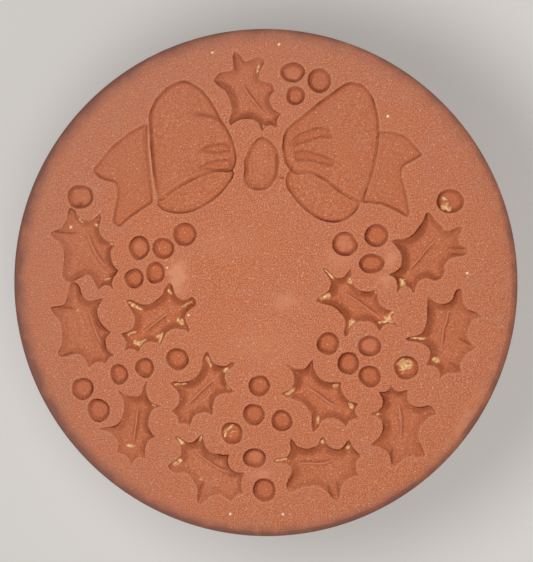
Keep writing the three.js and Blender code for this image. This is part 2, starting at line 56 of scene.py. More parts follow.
# Holly leaves: the midrib, from the stalk's end, and the edge, clockwise. The edge is a row of stretches, each
# from the tip of a spine to the next tip, smooth on the way and sharp where two meet. A few leaves have a
# floor that is more or less brown than the rest.
LEAVES = [
    {"rib": [(-2.45, 19.85), (-1.8, 18.85), (-1, 17.8), (-0.15, 16.75)], "edge": [
        [(-3, 23), (-2.65, 22.65), (-2.3, 22.15), (-2.05, 21.95), (-1.5, 22), (-1.15, 22.2), (-0.8, 22.35)],
        [(-0.15, 22.2), (-0.1, 21.8), (-0.4, 21.35), (-0.6, 20.9), (-0.65, 20.45), (-0.45, 20.05), (0, 19.9)],
        [(0.6, 19.8)],
        [(0.95, 19), (0.6, 18.7), (0.4, 18.25), (0.5, 17.7), (0.75, 17.25), (1.15, 16.95)],
        [(1.6, 16.75), (1.25, 16.35), (1.15, 15.9)],
        [(1.25, 15.4), (0.9, 15.55), (0.5, 15.65), (0.05, 15.55)],
        [(-0.3, 15.1), (-0.5, 15.6), (-0.8, 15.95), (-1.3, 16.25), (-1.95, 16.35), (-2.6, 16.2), (-3.05, 16)],
        [(-3.45, 15.7), (-3.6, 16.05), (-3.4, 16.55), (-3.3, 17.25), (-3.45, 18), (-3.65, 18.65), (-3.95, 19.1),
         (-4.4, 19.4), (-4.9, 19.85)],
        [(-5.15, 20.15), (-4.75, 20.65), (-4.3, 20.9), (-3.7, 20.95), (-3.2, 21.15), (-3.1, 21.65),
         (-3.2, 22.15), (-3.15, 22.75)],
    ]},
    {"rib": [(-18.3, 4.95), (-17.9, 3.9), (-17.25, 2.6), (-16.4, 1.5)], "edge": [
        [(-19.9, 7.45), (-19.55, 7.25)],
        [(-19.3, 7.15), (-19.2, 6.75), (-18.75, 6.35), (-18.2, 6.2), (-17.6, 6.25), (-17.2, 6.55)],
        [(-16.85, 6.85), (-16.8, 6.35), (-16.95, 5.8), (-16.95, 5.2), (-16.75, 4.65), (-16.3, 4.2),
         (-15.85, 4.05)],
        [(-15.4, 3.95), (-15.5, 3.65), (-15.75, 3.25), (-15.8, 2.75), (-15.7, 2.2), (-15.5, 1.7)],
        [(-15.05, 1.15), (-15.15, 0.9), (-15.45, 0.55), (-15.6, 0.2), (-15.7, -0.2)],
        [(-15.5, -0.7), (-15.85, -0.35), (-16.25, -0.25), (-16.6, -0.35)],
        [(-17, -0.75), (-17.25, -0.25), (-17.5, 0.25), (-17.9, 0.65), (-18.5, 0.7), (-19.1, 0.4), (-19.6, 0.1),
         (-20.1, 0.02), (-20.55, 0.3), (-20.7, 0.8), (-20.65, 1.35), (-20.5, 2.1), (-20.45, 2.8), (-20.7, 3.55),
         (-21.05, 4.1), (-21.55, 4.45), (-21.8, 4.75)],
        [(-21.85, 5), (-21.4, 5.15), (-20.85, 5.3), (-20.6, 5.65), (-20.3, 6.2), (-20.1, 6.8)],
    ]},
    {"rib": [(-18.2, -2.7), (-17.8, -4), (-17.3, -5.4), (-16.75, -6.5)], "edge": [
        [(-19.55, -0.05), (-19.2, -0.25), (-18.95, -0.65), (-18.85, -1.1), (-18.6, -1.55), (-18.15, -1.85),
         (-17.6, -1.9), (-17.05, -1.8)],
        [(-16.6, -1.65), (-16.8, -2.05), (-17.05, -2.45), (-17.2, -3.05), (-17.1, -3.6), (-16.85, -4.1),
         (-16.5, -4.55), (-16.15, -4.85)],
        [(-15.85, -5), (-16, -5.3), (-16.3, -5.65), (-16.35, -6.1), (-16.25, -6.65), (-15.95, -7.05)],
        [(-15.5, -7.35), (-15.8, -7.5), (-16.1, -7.75)],
        [(-16.4, -8.2), (-16.8, -8.05), (-17.25, -8.1), (-17.7, -8.3)],
        [(-18.05, -8.6), (-18.2, -8.15), (-18.45, -7.75), (-18.8, -7.35), (-19.3, -7.2), (-19.8, -7.3),
         (-20.35, -7.5), (-20.9, -7.55), (-21.2, -7.3), (-21.05, -6.9), (-20.85, -6.35), (-20.75, -5.65),
         (-20.75, -4.9), (-20.9, -4.35), (-21.05, -3.9), (-21.45, -3.4), (-21.75, -3)],
        [(-21.9, -2.65), (-21.45, -2.55), (-20.9, -2.45), (-20.5, -2.25), (-20.25, -1.8), (-20.15, -1.2),
         (-20, -0.6), (-19.85, -0.2)],
    ]},
    {"rib": [(-10, -3.1), (-11.3, -4.1), (-12.6, -5.1)], "edge": [
        [(-14.1, -1.9), (-13.7, -1.8), (-13.2, -2.05), (-12.75, -2.25), (-12.25, -2.3), (-11.7, -2.2),
         (-11.15, -1.9), (-10.7, -1.55), (-10.35, -1.1), (-10.15, -0.6), (-9.95, -0.2), (-9.7, -0.1),
         (-9.5, -0.35), (-9.4, -0.75), (-9.25, -1.15), (-8.9, -1.6), (-8.5, -1.8), (-8.05, -1.8), (-7.7, -1.6)],
        [(-7.45, -1.5), (-7.2, -1.7), (-7.1, -2)],
        [(-7.05, -2.3), (-7.35, -2.5), (-7.7, -2.75), (-8.05, -3.05), (-8.2, -3.5), (-8.05, -4.1),
         (-7.85, -4.6)],
        [(-7.75, -5), (-8.05, -4.8), (-8.5, -4.7), (-9, -4.65), (-9.5, -4.7), (-9.95, -4.95), (-10.25, -5.35),
         (-10.5, -5.85)],
        [(-10.7, -6.35), (-11.05, -6.1), (-11.5, -6), (-12.05, -6.05), (-12.5, -6.3), (-12.8, -6.65)],
        [(-13, -7.1), (-13.3, -6.85), (-13.7, -6.7), (-14, -6.75)],
        [(-14.35, -6.85), (-14.2, -6.45), (-14.2, -6), (-14.35, -5.6)],
        [(-14.65, -5.2), (-14.15, -5.1), (-13.7, -4.85), (-13.4, -4.5), (-13.25, -4), (-13.3, -3.45),
         (-13.55, -2.9), (-13.85, -2.45)],
    ]},
    {"rib": [(-5.4, -9.8), (-6.7, -11), (-8, -12.3)], "brown": 0.4, "edge": [
        [(-5.85, -7), (-5.75, -7.4), (-5.5, -7.85), (-5.15, -8.25), (-4.7, -8.4), (-4.15, -8.45), (-3.7, -8.25),
         (-3.4, -8.05)],
        [(-3.15, -8.05), (-3.25, -8.35), (-3.6, -8.65), (-3.95, -8.95), (-4.15, -9.35), (-4.15, -9.8),
         (-3.95, -10.25), (-3.65, -10.65)],
        [(-3.2, -10.95), (-3.7, -11.1), (-4.15, -11.1), (-4.7, -11.25), (-5.15, -11.6), (-5.3, -12.05),
         (-5.4, -12.5), (-5.45, -12.95)],
        [(-5.45, -13.35), (-5.85, -13.1), (-6.3, -13.05), (-6.75, -13.15), (-7.25, -13.4), (-7.5, -13.85)],
        [(-7.7, -14.5), (-7.95, -14.25), (-8.4, -14.15)],
        [(-8.85, -14.3), (-8.85, -13.85), (-9, -13.45), (-9.25, -13.2)],
        [(-9.55, -13), (-9.15, -12.75), (-8.8, -12.35), (-8.7, -11.8), (-8.75, -11.25), (-8.95, -10.85),
         (-9.3, -10.55)],
        [(-9.65, -10.2), (-9.25, -10.05), (-8.6, -10.15), (-7.95, -10), (-7.4, -9.75), (-6.85, -9.35),
         (-6.55, -8.85), (-6.4, -8.35), (-6.35, -7.8), (-6.2, -7.35)],
    ]},
    {"rib": [(-13.1, -12.6), (-13.3, -14.4), (-13.6, -16.3)], "brown": 1.15, "edge": [
        [(-12.1, -10.1), (-12.25, -10.85), (-12.1, -11.5), (-11.8, -12.05), (-11.35, -12.35)],
        [(-10.7, -12.5), (-11.25, -12.65), (-11.6, -12.95), (-11.85, -13.4), (-12, -14.05), (-11.95, -14.65),
         (-11.75, -15.15)],
        [(-11.3, -15.6), (-11.75, -15.75), (-12.05, -16.1), (-12.3, -16.65), (-12.35, -17.2)],
        [(-12.3, -17.8), (-12.65, -17.65), (-13.05, -17.7), (-13.4, -17.9)],
        [(-13.75, -18.5), (-13.9, -17.9), (-14.2, -17.55), (-14.5, -17.35), (-14.85, -17.25)],
        [(-15.15, -17.2), (-15, -16.65), (-15.1, -16.2), (-15.25, -15.75), (-15.6, -15.35), (-16.25, -15.05)],
        [(-16.9, -14.85), (-16.35, -14.75), (-15.8, -14.65), (-15.25, -14.5), (-14.85, -14.1), (-14.55, -13.55),
         (-14.4, -13.05), (-14.4, -12.4), (-14.55, -11.85), (-14.8, -11.4)],
        [(-14.95, -11), (-14.6, -11.3), (-14.15, -11.5), (-13.6, -11.55), (-13.05, -11.55), (-12.7, -11.35),
         (-12.5, -10.95), (-12.35, -10.5)],
    ]},
    {"rib": [(-7.4, -17), (-6.2, -17.9), (-4.6, -18.9), (-3.3, -19.3)], "brown": 0.25, "edge": [
        [(-9.25, -15.6)],
        [(-8.9, -15.55), (-8.55, -15.85), (-8.05, -16.1), (-7.55, -16.15), (-7.2, -16.05), (-6.9, -15.75),
         (-6.65, -15.45)],
        [(-6.4, -15.3), (-6.4, -15.8), (-6.25, -16.3), (-6, -16.8), (-5.55, -17.15), (-5.05, -17.25),
         (-4.4, -17.35)],
        [(-3.75, -17.35), (-3.9, -17.75), (-3.85, -18.25), (-3.6, -18.75), (-3.15, -19.05), (-2.65, -19.15)],
        [(-2.2, -19.15), (-2.4, -19.6), (-2.5, -20.15), (-2.5, -20.7)],
        [(-2.3, -21.1), (-2.75, -21.25), (-3.15, -21.5)],
        [(-3.6, -21.95), (-3.95, -21.65), (-4.4, -21.35), (-4.95, -21.25), (-5.5, -21.35), (-5.75, -21.45),
         (-6.05, -21.85), (-6.4, -22.15)],
        [(-6.8, -22.25), (-6.95, -21.95), (-6.9, -21.4), (-6.9, -20.85), (-7.05, -20.4), (-7.35, -19.85),
         (-7.7, -19.4), (-8.2, -19.15), (-8.75, -19.15), (-9.4, -19.1), (-9.75, -18.85)],
        [(-9.9, -18.5), (-9.55, -18.2), (-9.05, -17.9), (-8.7, -17.55), (-8.55, -17.15), (-8.55, -16.6),
         (-8.75, -16.15), (-9.05, -15.85)],
    ]},
    {"rib": [(3.9, -10.4), (5.3, -11.3), (6.2, -12), (7.2, -12.5)], "edge": [
        [(1.9, -8.15), (2.3, -8.3), (2.65, -8.5), (3.1, -8.7), (3.65, -8.7), (4.1, -8.5), (4.4, -8.15)],
        [(4.7, -7.75), (4.75, -8.35), (4.9, -8.85), (5.15, -9.35), (5.6, -9.75), (6.15, -9.95), (6.8, -10)],
        [(7.5, -10), (7.5, -10.5), (7.65, -10.95), (7.9, -11.4), (8.25, -11.8), (8.7, -12)],
        [(9.25, -12.1), (9, -12.4), (8.9, -12.8), (9.05, -13.15)],
        [(9.4, -13.5), (8.9, -13.5), (8.55, -13.65), (8.2, -13.9)],
        [(8.05, -14.3), (7.7, -13.9), (7.35, -13.65), (6.8, -13.45), (6.15, -13.5), (5.7, -13.7), (5.45, -14),
         (5.2, -14.5)],
        [(4.75, -14.9), (4.65, -14.35), (4.65, -13.7), (4.6, -13.15), (4.25, -12.6), (3.9, -12.2),
         (3.45, -11.85), (2.9, -11.65), (2.35, -11.5), (1.9, -11.35)],
        [(1.65, -11.05), (2.1, -10.95), (2.5, -10.65), (2.75, -10.3), (2.9, -9.75), (2.8, -9.2), (2.55, -8.7),
         (2.15, -8.35)],
    ]},
    {"rib": [(3.1, -18.15), (4.3, -18.1), (5.6, -18.1), (6.9, -17.7)], "edge": [
        [(2.55, -15.65), (2.85, -16), (3.15, -16.35), (3.65, -16.55), (4.15, -16.65), (4.7, -16.5),
         (5.15, -16.25), (5.35, -15.9), (5.5, -15.6), (5.7, -15.5), (5.9, -15.7), (6.05, -16.05), (6.35, -16.4),
         (6.8, -16.6), (7.35, -16.65), (7.7, -16.45), (8, -16.1), (8.15, -15.85)],
        [(8.4, -15.75), (8.55, -16.2), (8.8, -16.6), (9.15, -16.95)],
        [(9.55, -17.2), (9.15, -17.6), (9, -18.1), (9, -18.7)],
        [(9.25, -19.15), (8.95, -19.15), (8.45, -19.35), (7.95, -19.7), (7.65, -20.05), (7.45, -20.55),
         (7.35, -21.05), (7.3, -21.55)],
        [(7.1, -21.8), (6.75, -21.55), (6.45, -21.15), (6.15, -20.8), (5.7, -20.5), (5.15, -20.25),
         (4.55, -20.25), (3.9, -20.35), (3.35, -20.55), (2.8, -20.85), (2.4, -20.85), (2.15, -20.55),
         (2.15, -20.15), (2.35, -19.6), (2.55, -19.15), (2.65, -18.8), (2.55, -18.45), (2.15, -18.2),
         (1.7, -18.1), (1.35, -18.05)],
        [(0.8, -17.85), (1.2, -17.6), (1.7, -17.55), (2.15, -17.45), (2.45, -17.05), (2.55, -16.55),
         (2.45, -16.05)],
    ]},
    {"rib": [(13.15, -12), (13.4, -13), (13.5, -14.2), (13.45, -15.5)], "edge": [
        [(12.5, -10.15), (12.7, -10.5), (13.05, -10.75), (13.5, -10.8)],
        [(14.05, -10.65), (14.05, -11), (14.1, -11.45), (14.3, -11.85), (14.65, -12.2), (15.1, -12.3),
         (15.65, -12.3), (16.1, -12.15), (16.5, -12.25)],
        [(16.85, -12.65), (16.9, -12.95), (16.5, -13.1), (16.05, -13.35), (15.65, -13.85), (15.35, -14.35),
         (15.15, -15), (15.2, -15.65), (15.5, -16.2), (15.7, -16.65)],
        [(15.85, -17.1), (15.2, -17.25), (14.65, -17.05), (14.1, -17.2), (13.65, -17.45), (13.2, -17.85)],
        [(12.9, -18.25), (12.55, -17.9), (12.5, -17.45), (12.35, -17), (11.95, -16.55), (11.5, -16.35),
         (10.95, -16.2)],
        [(10.45, -16.05), (10.85, -15.85), (11.25, -15.5), (11.55, -15.1), (11.75, -14.55), (11.7, -14),
         (11.45, -13.5), (10.95, -13.2)],
        [(10.35, -13.05), (11, -12.85), (11.45, -12.6), (11.7, -12.2), (11.8, -11.75), (11.65, -11.35)],
        [(11.4, -10.9), (11.75, -10.9), (12.1, -10.8), (12.4, -10.5)],
    ]},
    {"rib": [(18.15, -2.7), (17.95, -3.8), (17.65, -4.7), (17.4, -6.9)], "edge": [
        [(16.1, -1.35), (16.45, -1.65), (16.9, -1.95), (17.45, -2.1), (18, -2.05), (18.4, -1.85),
         (18.65, -1.55), (18.8, -1.15), (18.95, -0.8), (19.25, -0.6), (19.5, -0.9), (19.55, -1.45), (19.65, -2),
         (19.85, -2.5), (20.2, -2.75), (20.65, -2.9), (21.05, -3.1)],
        [(21.35, -3.4), (20.9, -3.5), (20.55, -3.65), (20.25, -4), (20.05, -4.55), (20, -5.1), (20.1, -5.65),
         (20.4, -6.05)],
        [(20.85, -6.35), (20.55, -6.6), (20.15, -6.75), (19.85, -7.05), (19.55, -7.45), (19.35, -7.9),
         (19.35, -8.4)],
        [(19.4, -8.9), (19, -8.8), (18.55, -8.8), (18.1, -8.9), (17.65, -9.1)],
        [(17.35, -9.4), (17.35, -8.9), (17.2, -8.55), (16.9, -8.25), (16.45, -8.15)],
        [(16, -8.15), (16.25, -7.75), (16.4, -7.25), (16.4, -6.8), (16.25, -6.4), (15.85, -6.1), (15.35, -5.9),
         (14.75, -5.8), (14.3, -5.75)],
        [(14, -5.55), (14.35, -5.45), (14.9, -5.35), (15.35, -5.15), (15.7, -4.85), (15.9, -4.4), (16.1, -3.8),
         (16.15, -3.15), (16.15, -2.55), (16.1, -1.9)],
    ]},
    {"rib": [(16.9, 4.25), (15.9, 3.2), (15.1, 2.2), (14.3, 1.3)], "edge": [
        [(15.95, 6.7), (16.15, 6.85), (16.4, 6.7), (16.65, 6.35), (17.05, 5.95), (17.45, 5.6), (17.6, 5.25),
         (18, 5.05), (18.45, 5.15), (18.8, 5.3), (19.2, 5.45), (19.45, 5.35), (19.4, 5.05), (19.2, 4.7),
         (19.1, 4.3), (19.2, 3.85), (19.45, 3.55), (19.85, 3.4), (20, 3.15), (19.9, 2.85), (19.7, 2.7),
         (19.15, 2.65), (18.7, 2.55), (18.25, 2.35), (17.9, 1.95), (17.7, 1.55), (17.75, 1.1), (17.6, 0.65)],
        [(17.3, 0.35), (16.9, 0.25), (16.55, 0.35), (16.15, 0.5), (15.7, 0.45), (15.35, 0.25), (15.05, -0.15),
         (14.9, -0.55)],
        [(14.75, -0.95), (14.55, -0.65), (14.25, -0.4), (13.95, -0.35), (13.6, -0.4), (13.35, -0.65)],
        [(13.1, -0.95), (13.2, -0.55), (13.2, -0.1), (13.05, 0.35), (12.7, 0.65)],
        [(12.35, 0.8), (12.75, 0.95), (13.15, 1.2), (13.5, 1.55), (13.6, 2), (13.6, 2.55), (13.45, 3),
         (13.15, 3.4), (12.85, 3.8)],
        [(12.55, 4.1), (12.95, 4.2), (13.55, 4.25), (14.15, 4.4), (14.7, 4.75), (15.1, 5.2), (15.45, 5.7),
         (15.75, 6.15), (15.9, 6.5)],
    ]},
    {"rib": [(7.8, -1), (9, -1.8), (10.4, -2.8), (11.4, -3.5)], "edge": [
        [(5.75, 1.45), (6.1, 1.3), (6.45, 1), (6.75, 0.7), (7, 0.45), (7.45, 0.35), (7.85, 0.55), (8.15, 0.85)],
        [(8.45, 1.25), (8.5, 0.85), (8.55, 0.4), (8.75, -0.1), (9.05, -0.55), (9.55, -0.85), (10.2, -0.95),
         (10.75, -0.8)],
        [(11.2, -0.75), (11.15, -1.15), (11.2, -1.6), (11.35, -2.05), (11.75, -2.45), (12.25, -2.75)],
        [(12.95, -2.85), (12.7, -3.2), (12.6, -3.55), (12.75, -3.9)],
        [(13.15, -4.35), (12.8, -4.15), (12.35, -4.05), (11.9, -4.15), (11.6, -4.4)],
        [(11.4, -4.75), (11.1, -4.3), (10.75, -4.05), (10.2, -3.8), (9.55, -3.8), (9, -3.95), (8.65, -4.25),
         (8.4, -4.7), (8.25, -5.1)],
        [(8, -5.35), (7.9, -4.85), (8, -4.3), (8, -3.75), (7.75, -3.3), (7.4, -2.85), (7, -2.5), (6.45, -2.25),
         (5.8, -2.1), (5.35, -1.95)],
        [(5.05, -1.75), (5.35, -1.5), (5.8, -1.25), (6.25, -0.95), (6.45, -0.6), (6.55, -0.15), (6.5, 0.3),
         (6.25, 0.75), (5.9, 1.15)],
    ]},
]
LEAF_DEPTH = 0.85
RIM_SIDE_DEPTH = 0.34
RIB_HEIGHT = 0.22
RIB_HALF = 0.1
RIB_GROOVE = 0.12
LEAF_BROWN = 0.65

# Berries: the centre of each, and its radius, or its radii across and up where it is out of round.
BERRIES = [
    ((2.75, 20.85), (1.2, 0.95)), ((5.4, 20), (1.15,)), ((3, 18.55), (0.92,)),
    ((18.35, 8.05), (1.3, 1.15)), ((7.95, 3.85), (1.2,)), ((11.1, 4.65), (1.12,)), ((10.6, 1.9), (1.2, 0.92)),
    ((6.25, -6.05), (1.08,)), ((10.4, -6.3), (1.12, 0.95)), ((8.3, -8.05), (1.05,)), ((10.4, -9.3), (1.05,)),
    ((14, -8.4), (1.15,)),
    ((-0.65, -10.35), (1.02,)), ((-1.2, -13.2), (1.05,)), ((1.6, -13.8), (1.02,)), ((-3.4, -15.15), (1.08,)),
    ((-1.15, -17.6), (1.12, 0.95)), ((-0.15, -20.85), (1.15,)),
    ((-8.95, -7.75), (1.1,)), ((-12.3, -8.65), (0.93,)), ((-14.9, -9.35), (0.88, 1)),
    ((-18.7, -10.8), (1.07,)), ((-17.05, -13), (1.12,)),
    ((-18.8, 8.6), (1.28, 1.2)), ((-12.8, 3.45), (1.02, 1.15)), ((-10.35, 3.4), (1.05,)),
    ((-8.15, 4.8), (1.15,)), ((-13.35, 0.35), (0.95,)), ((-11.15, 0.95), (0.92, 1.12)),
]
BERRY_DEPTH = 0.62

# The ribbon bow: each loop's front band and the inside of the loop under it, the tails, the pleats by the
# knot, and the knot.
BANDS = [
    ([(-2.95, 12.2), (-3.25, 14), (-4.4, 16.2), (-6.4, 19.2), (-8.3, 20.1), (-10.4, 19.1), (-11.65, 17),
      (-11.65, 14.6), (-11.4, 11.6), (-11, 9), (-10.7, 8.2), (-9.2, 9.2), (-7, 10.4), (-5, 11.05),
      (-3.4, 11.15)], [(-4.4, 12.6), (-9, 16.6)]),
    ([(2.9, 10.85), (4.6, 10.8), (5.85, 10.15), (7.1, 9.2), (8.1, 8.5), (9.5, 7.95), (10, 9), (10.5, 10.4),
      (11, 12.3), (11.25, 14.2), (11.3, 15.6), (11.05, 17.1), (10.55, 18.5), (9.8, 19.4), (8.4, 19.75),
      (6.6, 18.7), (4.2, 16.9), (2.1, 15.1), (1.75, 13.4), (2, 12)], [(3.4, 13.2), (8.9, 16.4)]),
]
BAND_DEPTHS = (0.38, 0.55)
INSIDES = [
    [(-3.5, 11.3), (-7, 10.7), (-9.6, 9.3), (-10.9, 8.1), (-10.6, 7.4), (-8.6, 6.9), (-6.9, 7.3), (-5, 8.45),
     (-3.8, 9.7), (-3.2, 10.8)],
    [(2.5, 11.1), (2.1, 10.4), (2.15, 9.6), (2.75, 8.6), (3.7, 7.5), (4.7, 6.7), (5.7, 6.2), (6.8, 6),
     (8.2, 6.35), (9.35, 7.85), (7.9, 9), (6.1, 10.2), (4.5, 11.1)],
]
INSIDE_DEPTH = 0.28
TAILS = [
    [(-11.95, 15.95), (-13.9, 14.95), (-15.8, 13.4), (-17.6, 11.2), (-16.7, 10.4), (-15.25, 10), (-15, 9),
     (-15.55, 6), (-14.9, 5.45), (-13.6, 6.6), (-11.4, 8.05), (-11.5, 10), (-11.85, 13)],
    [(11.1, 14.95), (11.05, 14.2), (10.8, 12.3), (10.3, 10.4), (9.8, 8.95), (9.6, 7.9), (10.5, 7.85),
     (11.45, 7.75), (12.2, 7.5), (13.2, 7), (14.15, 6.4), (14.35, 7), (14.2, 7.7), (13.95, 8.85), (13.7, 9.95),
     (13.5, 11.05), (13.7, 11.5), (14.5, 11.95), (15.25, 12.35), (15.6, 12.7), (14.95, 13.25), (14.55, 13.8),
     (14.05, 14.35), (13.3, 14.65), (12.45, 14.9)],
]
TAIL_DEPTH = 0.38
PLEATS = [
    [(-6.7, 13.15), (-5.6, 12.85), (-4.4, 12.85), (-3.5, 13.1), (-3.6, 13.6), (-4.6, 13.85), (-5.7, 13.7)],
    [(-7, 11.35), (-5.6, 11.15), (-4, 11.15), (-3.35, 11.6), (-3.55, 12.35), (-4.5, 12.2), (-5.6, 12)],
    [(2.35, 13.7), (2.7, 13.5), (4.12, 13.86), (5.44, 14.25), (6.75, 14.35), (6.2, 15.2), (5.44, 15.4),
     (4.34, 15.06), (3.23, 14.62)],
    [(2.75, 12.5), (3, 12), (4.1, 12), (5.44, 11.7), (6.6, 11.5), (7, 11.85), (6, 12.45), (5, 12.78),
     (3.79, 13.05), (2.95, 12.98)],
]
PLEAT_DEPTH = 0.32
KNOT = [(-0.4, 14.45), (-1, 14.1), (-1.55, 13.5), (-1.8, 12.9), (-2, 12.4), (-2.1, 11.8), (-2.05, 11.2),
        (-2.15, 10.55), (-2.1, 10.2), (-1.8, 9.75), (-1.35, 9.4), (-0.7, 9.25), (-0.05, 9.35), (0.45, 9.6),
        (0.9, 10.15), (1.2, 10.75), (1.35, 11.5), (1.35, 12.25), (1.2, 13), (0.9, 13.6), (0.3, 14.2)]
KNOT_MIDDLE = (-0.4, 11.9)
KNOT_DEPTH = 0.5
KNOT_EDGE_DEPTH = 0.26

# Fine creases in the clay: the line of each, half its width and its depth. They lie in the spines' tips, beside
# one berry, along the folds of the ribbon and round the knot.
CREASES = [
    ([(-21.8, 5.05), (-20.6, 4.95), (-19.2, 4.95)], 0.1, 0.16),
    ([(-21.9, -2.6), (-20.7, -2.62), (-19.5, -2.7)], 0.1, 0.18),
    ([(-19.7, 0.25), (-19.1, 0.5), (-18.4, 0.75)], 0.12, 0.14),
    ([(-20.9, -7.4), (-20.2, -7.25), (-19.6, -7.05)], 0.12, 0.14),
    ([(-3.05, 22.8), (-3.05, 21.8), (-2.8, 21.1)], 0.14, 0.22),
    ([(-2.85, 22.8), (-2.45, 22.3), (-2.2, 21.7)], 0.12, 0.14),
    ([(-6.85, -22), (-6.75, -21), (-6.35, -20.1)], 0.15, 0.18),
    ([(2.85, -19.05), (2.6, -19.7), (2.3, -20.4)], 0.1, 0.24),
    ([(6.2, -20.1), (6.5, -20.9), (6.9, -21.6)], 0.13, 0.15),
    ([(7, -19.9), (7.2, -20.6), (7.25, -21.5)], 0.13, 0.15),
    ([(12.75, -16.5), (12.55, -17), (12.68, -17.5), (12.65, -18.1)], 0.09, 0.18),
    ([(14.3, -5.6), (15, -5.65), (15.5, -5.6)], 0.1, 0.14),
    ([(19.1, -5.4), (19.8, -5.85), (20.4, -6.15)], 0.14, 0.12),
    ([(18.1, -7.8), (18.8, -8.2), (19.2, -8.6)], 0.14, 0.12),
    ([(18.2, 3.5), (19, 3.4), (19.8, 3.3)], 0.13, 0.16),
    ([(18.2, 2.85), (19, 2.85), (19.7, 2.8)], 0.13, 0.16),
    ([(-7.3, -2.2), (-7.8, -2.35), (-8.3, -2.75)], 0.1, 0.16),
    ([(-19.35, 7.55), (-19.1, 7.75), (-18.9, 8)], 0.22, 0.25),
    ([(2.65, 11.6), (2.6, 11.2), (2.75, 10.95)], 0.1, 0.16),
    ([(-7.5, 16.9), (-6.3, 16.75), (-5.1, 16.45), (-4.4, 15.9), (-3.8, 15.2)], 0.2, 0.08),
    ([(-6.8, 13.15), (-5.7, 13.65), (-4.6, 13.82), (-3.6, 13.55)], 0.13, 0.12),
    ([(-7.1, 11.4), (-5.6, 12), (-4.5, 12.2), (-3.4, 12.3)], 0.12, 0.12),
    ([(2.3, 13.8), (3.2, 14.6), (4.3, 15.05), (5.4, 15.35), (6.3, 15.15)], 0.12, 0.12),
    ([(2.7, 12.9), (3.8, 13.05), (5, 12.78), (6, 12.42), (7, 11.9)], 0.12, 0.12),
    ([(-1.78, 10.63), (-2.08, 10.48), (-2.02, 10), (-1.65, 9.58), (-1.14, 9.38), (-0.5, 9.32), (0.14, 9.45),
      (0.6, 9.8)], 0.12, 0.18),
    ([(-1.55, 13.45), (-1, 13.98), (-0.42, 14.35), (0.1, 14.15)], 0.1, 0.1),
    ([(1, 12.9), (1.02, 11.8), (0.95, 10.8)], 0.1, 0.06),
    ([(1.25, 10.48), (1.55, 10.44), (1.85, 10.4)], 0.08, 0.2),
]

# Narrow ridges left standing between two cuts, paler along the crest, with a gentle slope and less painted
# shade on their left: the line of each, upwards, and half its width.
RIDGES = [
    ([(-11.2, 8.4), (-11.35, 10), (-11.6, 12), (-11.77, 14), (-11.8, 15.7)], 0.09),
]

# Walls that face this way, to the lower right, count more as the inner kind below, and so get more painted
# shade, as if lit from the upper left. Then each kind of wall: how wide it is on the wreath's inner side and on
# the side towards the rim, how brown with painted shade on the inner side and on the rim side, how dark the
# painted shadow line along its lip is, and how crisp the lip is.
MOULD_LEAN = (0.8, -0.6)
LEAF_WALLS = (0.76, 0.6, 0.68, 0.17, 3, 1)
BERRY_WALLS = (0.38, 0.5, 0.62, 0.42, 3, 0.95)
BAND_WALLS = (0.28, 0.34, 0.42, 0.28, 3.8, 0.95)
INSIDE_WALLS = (0.3, 0.3, 0.45, 0.32, 3.8, 0.9)
TAIL_WALLS = (0.3, 0.3, 0.32, 0.25, 2.6, 0.8)
PLEAT_WALLS = (0.4, 0.4, 0.2, 0.2, 0, 0.3)
KNOT_WALLS = (0.4, 0.35, 0.4, 0.35, 2.8, 0.7)


def lumps(points, size, seed):
    """Smooth unevenness between -1 and 1 at the given points, with lumps of about that size."""
    table = np.random.default_rng(seed).uniform(-1, 1, (32, 32, 32))
    cells = points / size
    low = np.floor(cells).astype(int)
    part = cells - low
    ease = part * part * (3 - 2 * part)
    value = np.zeros(len(points))
    for corner in np.ndindex(2, 2, 2):
        at = (low + corner) % 32
        weight = np.prod(np.where(corner, ease, 1 - ease), axis=1)
        value += weight * table[at[:, 0], at[:, 1], at[:, 2]]
    return value


def flat(x, y, z=0.0):
    """Places on the face as points in space."""
    return np.column_stack([x, y, np.full(len(x), z)])


def bell(value, middle, width):
    """1 at the middle, falling off smoothly to 0 on both sides."""
    return np.exp(-((value - middle) / width) ** 2)


def tapered(t, steep, least=0.0):
    """1 along a line, falling off to the least at both of its ends."""
    return np.clip(steep * t, least, 1) * np.clip(steep * (1 - t), least, 1)


def drawn_curve(points, steps):
    """A smooth open curve through the points."""
    ends = len(points) - 1
    curve = []
    for s in np.linspace(0, ends, steps + 1):
        i = min(int(s), ends - 1)
        t = s - i
        p0, p1, p2, p3 = points[max(i - 1, 0)], points[i], points[i + 1], points[min(i + 2, ends)]
        v0, v1 = (p2 - p0) / 2, (p3 - p1) / 2
        curve.append((2 * p1 - 2 * p2 + v0 + v1) * t**3 + (-3 * p1 + 3 * p2 - 2 * v0 - v1) * t**2 + v0 * t + p1)
    return np.array(curve)


def spiny(stretches):
    """A leaf's outline, counter-clockwise."""
    tips = [stretch[0] for stretch in stretches]
    edge = []
    for stretch, next_tip in zip(stretches, tips[1:] + tips[:1]):
        points = np.array(stretch + [next_tip], float)
        edge.append(drawn_curve(points, 3 * len(stretch))[:-1])
    return np.concatenate(edge)[::-1]


def blunted(corners, by=0.3):
    """A closed outline with straight sides, its corners worn round."""
    ring = np.array(corners, float)
    edge = np.concatenate([np.linspace(a, b, max(2, round(math.dist(a, b) / 0.1)), endpoint=False)
                           for a, b in zip(ring, np.roll(ring, -1, axis=0))])
    reach = round(by / 0.1)
    return sum(np.roll(edge, k, axis=0) for k in range(-reach, reach + 1)) / (2 * reach + 1)


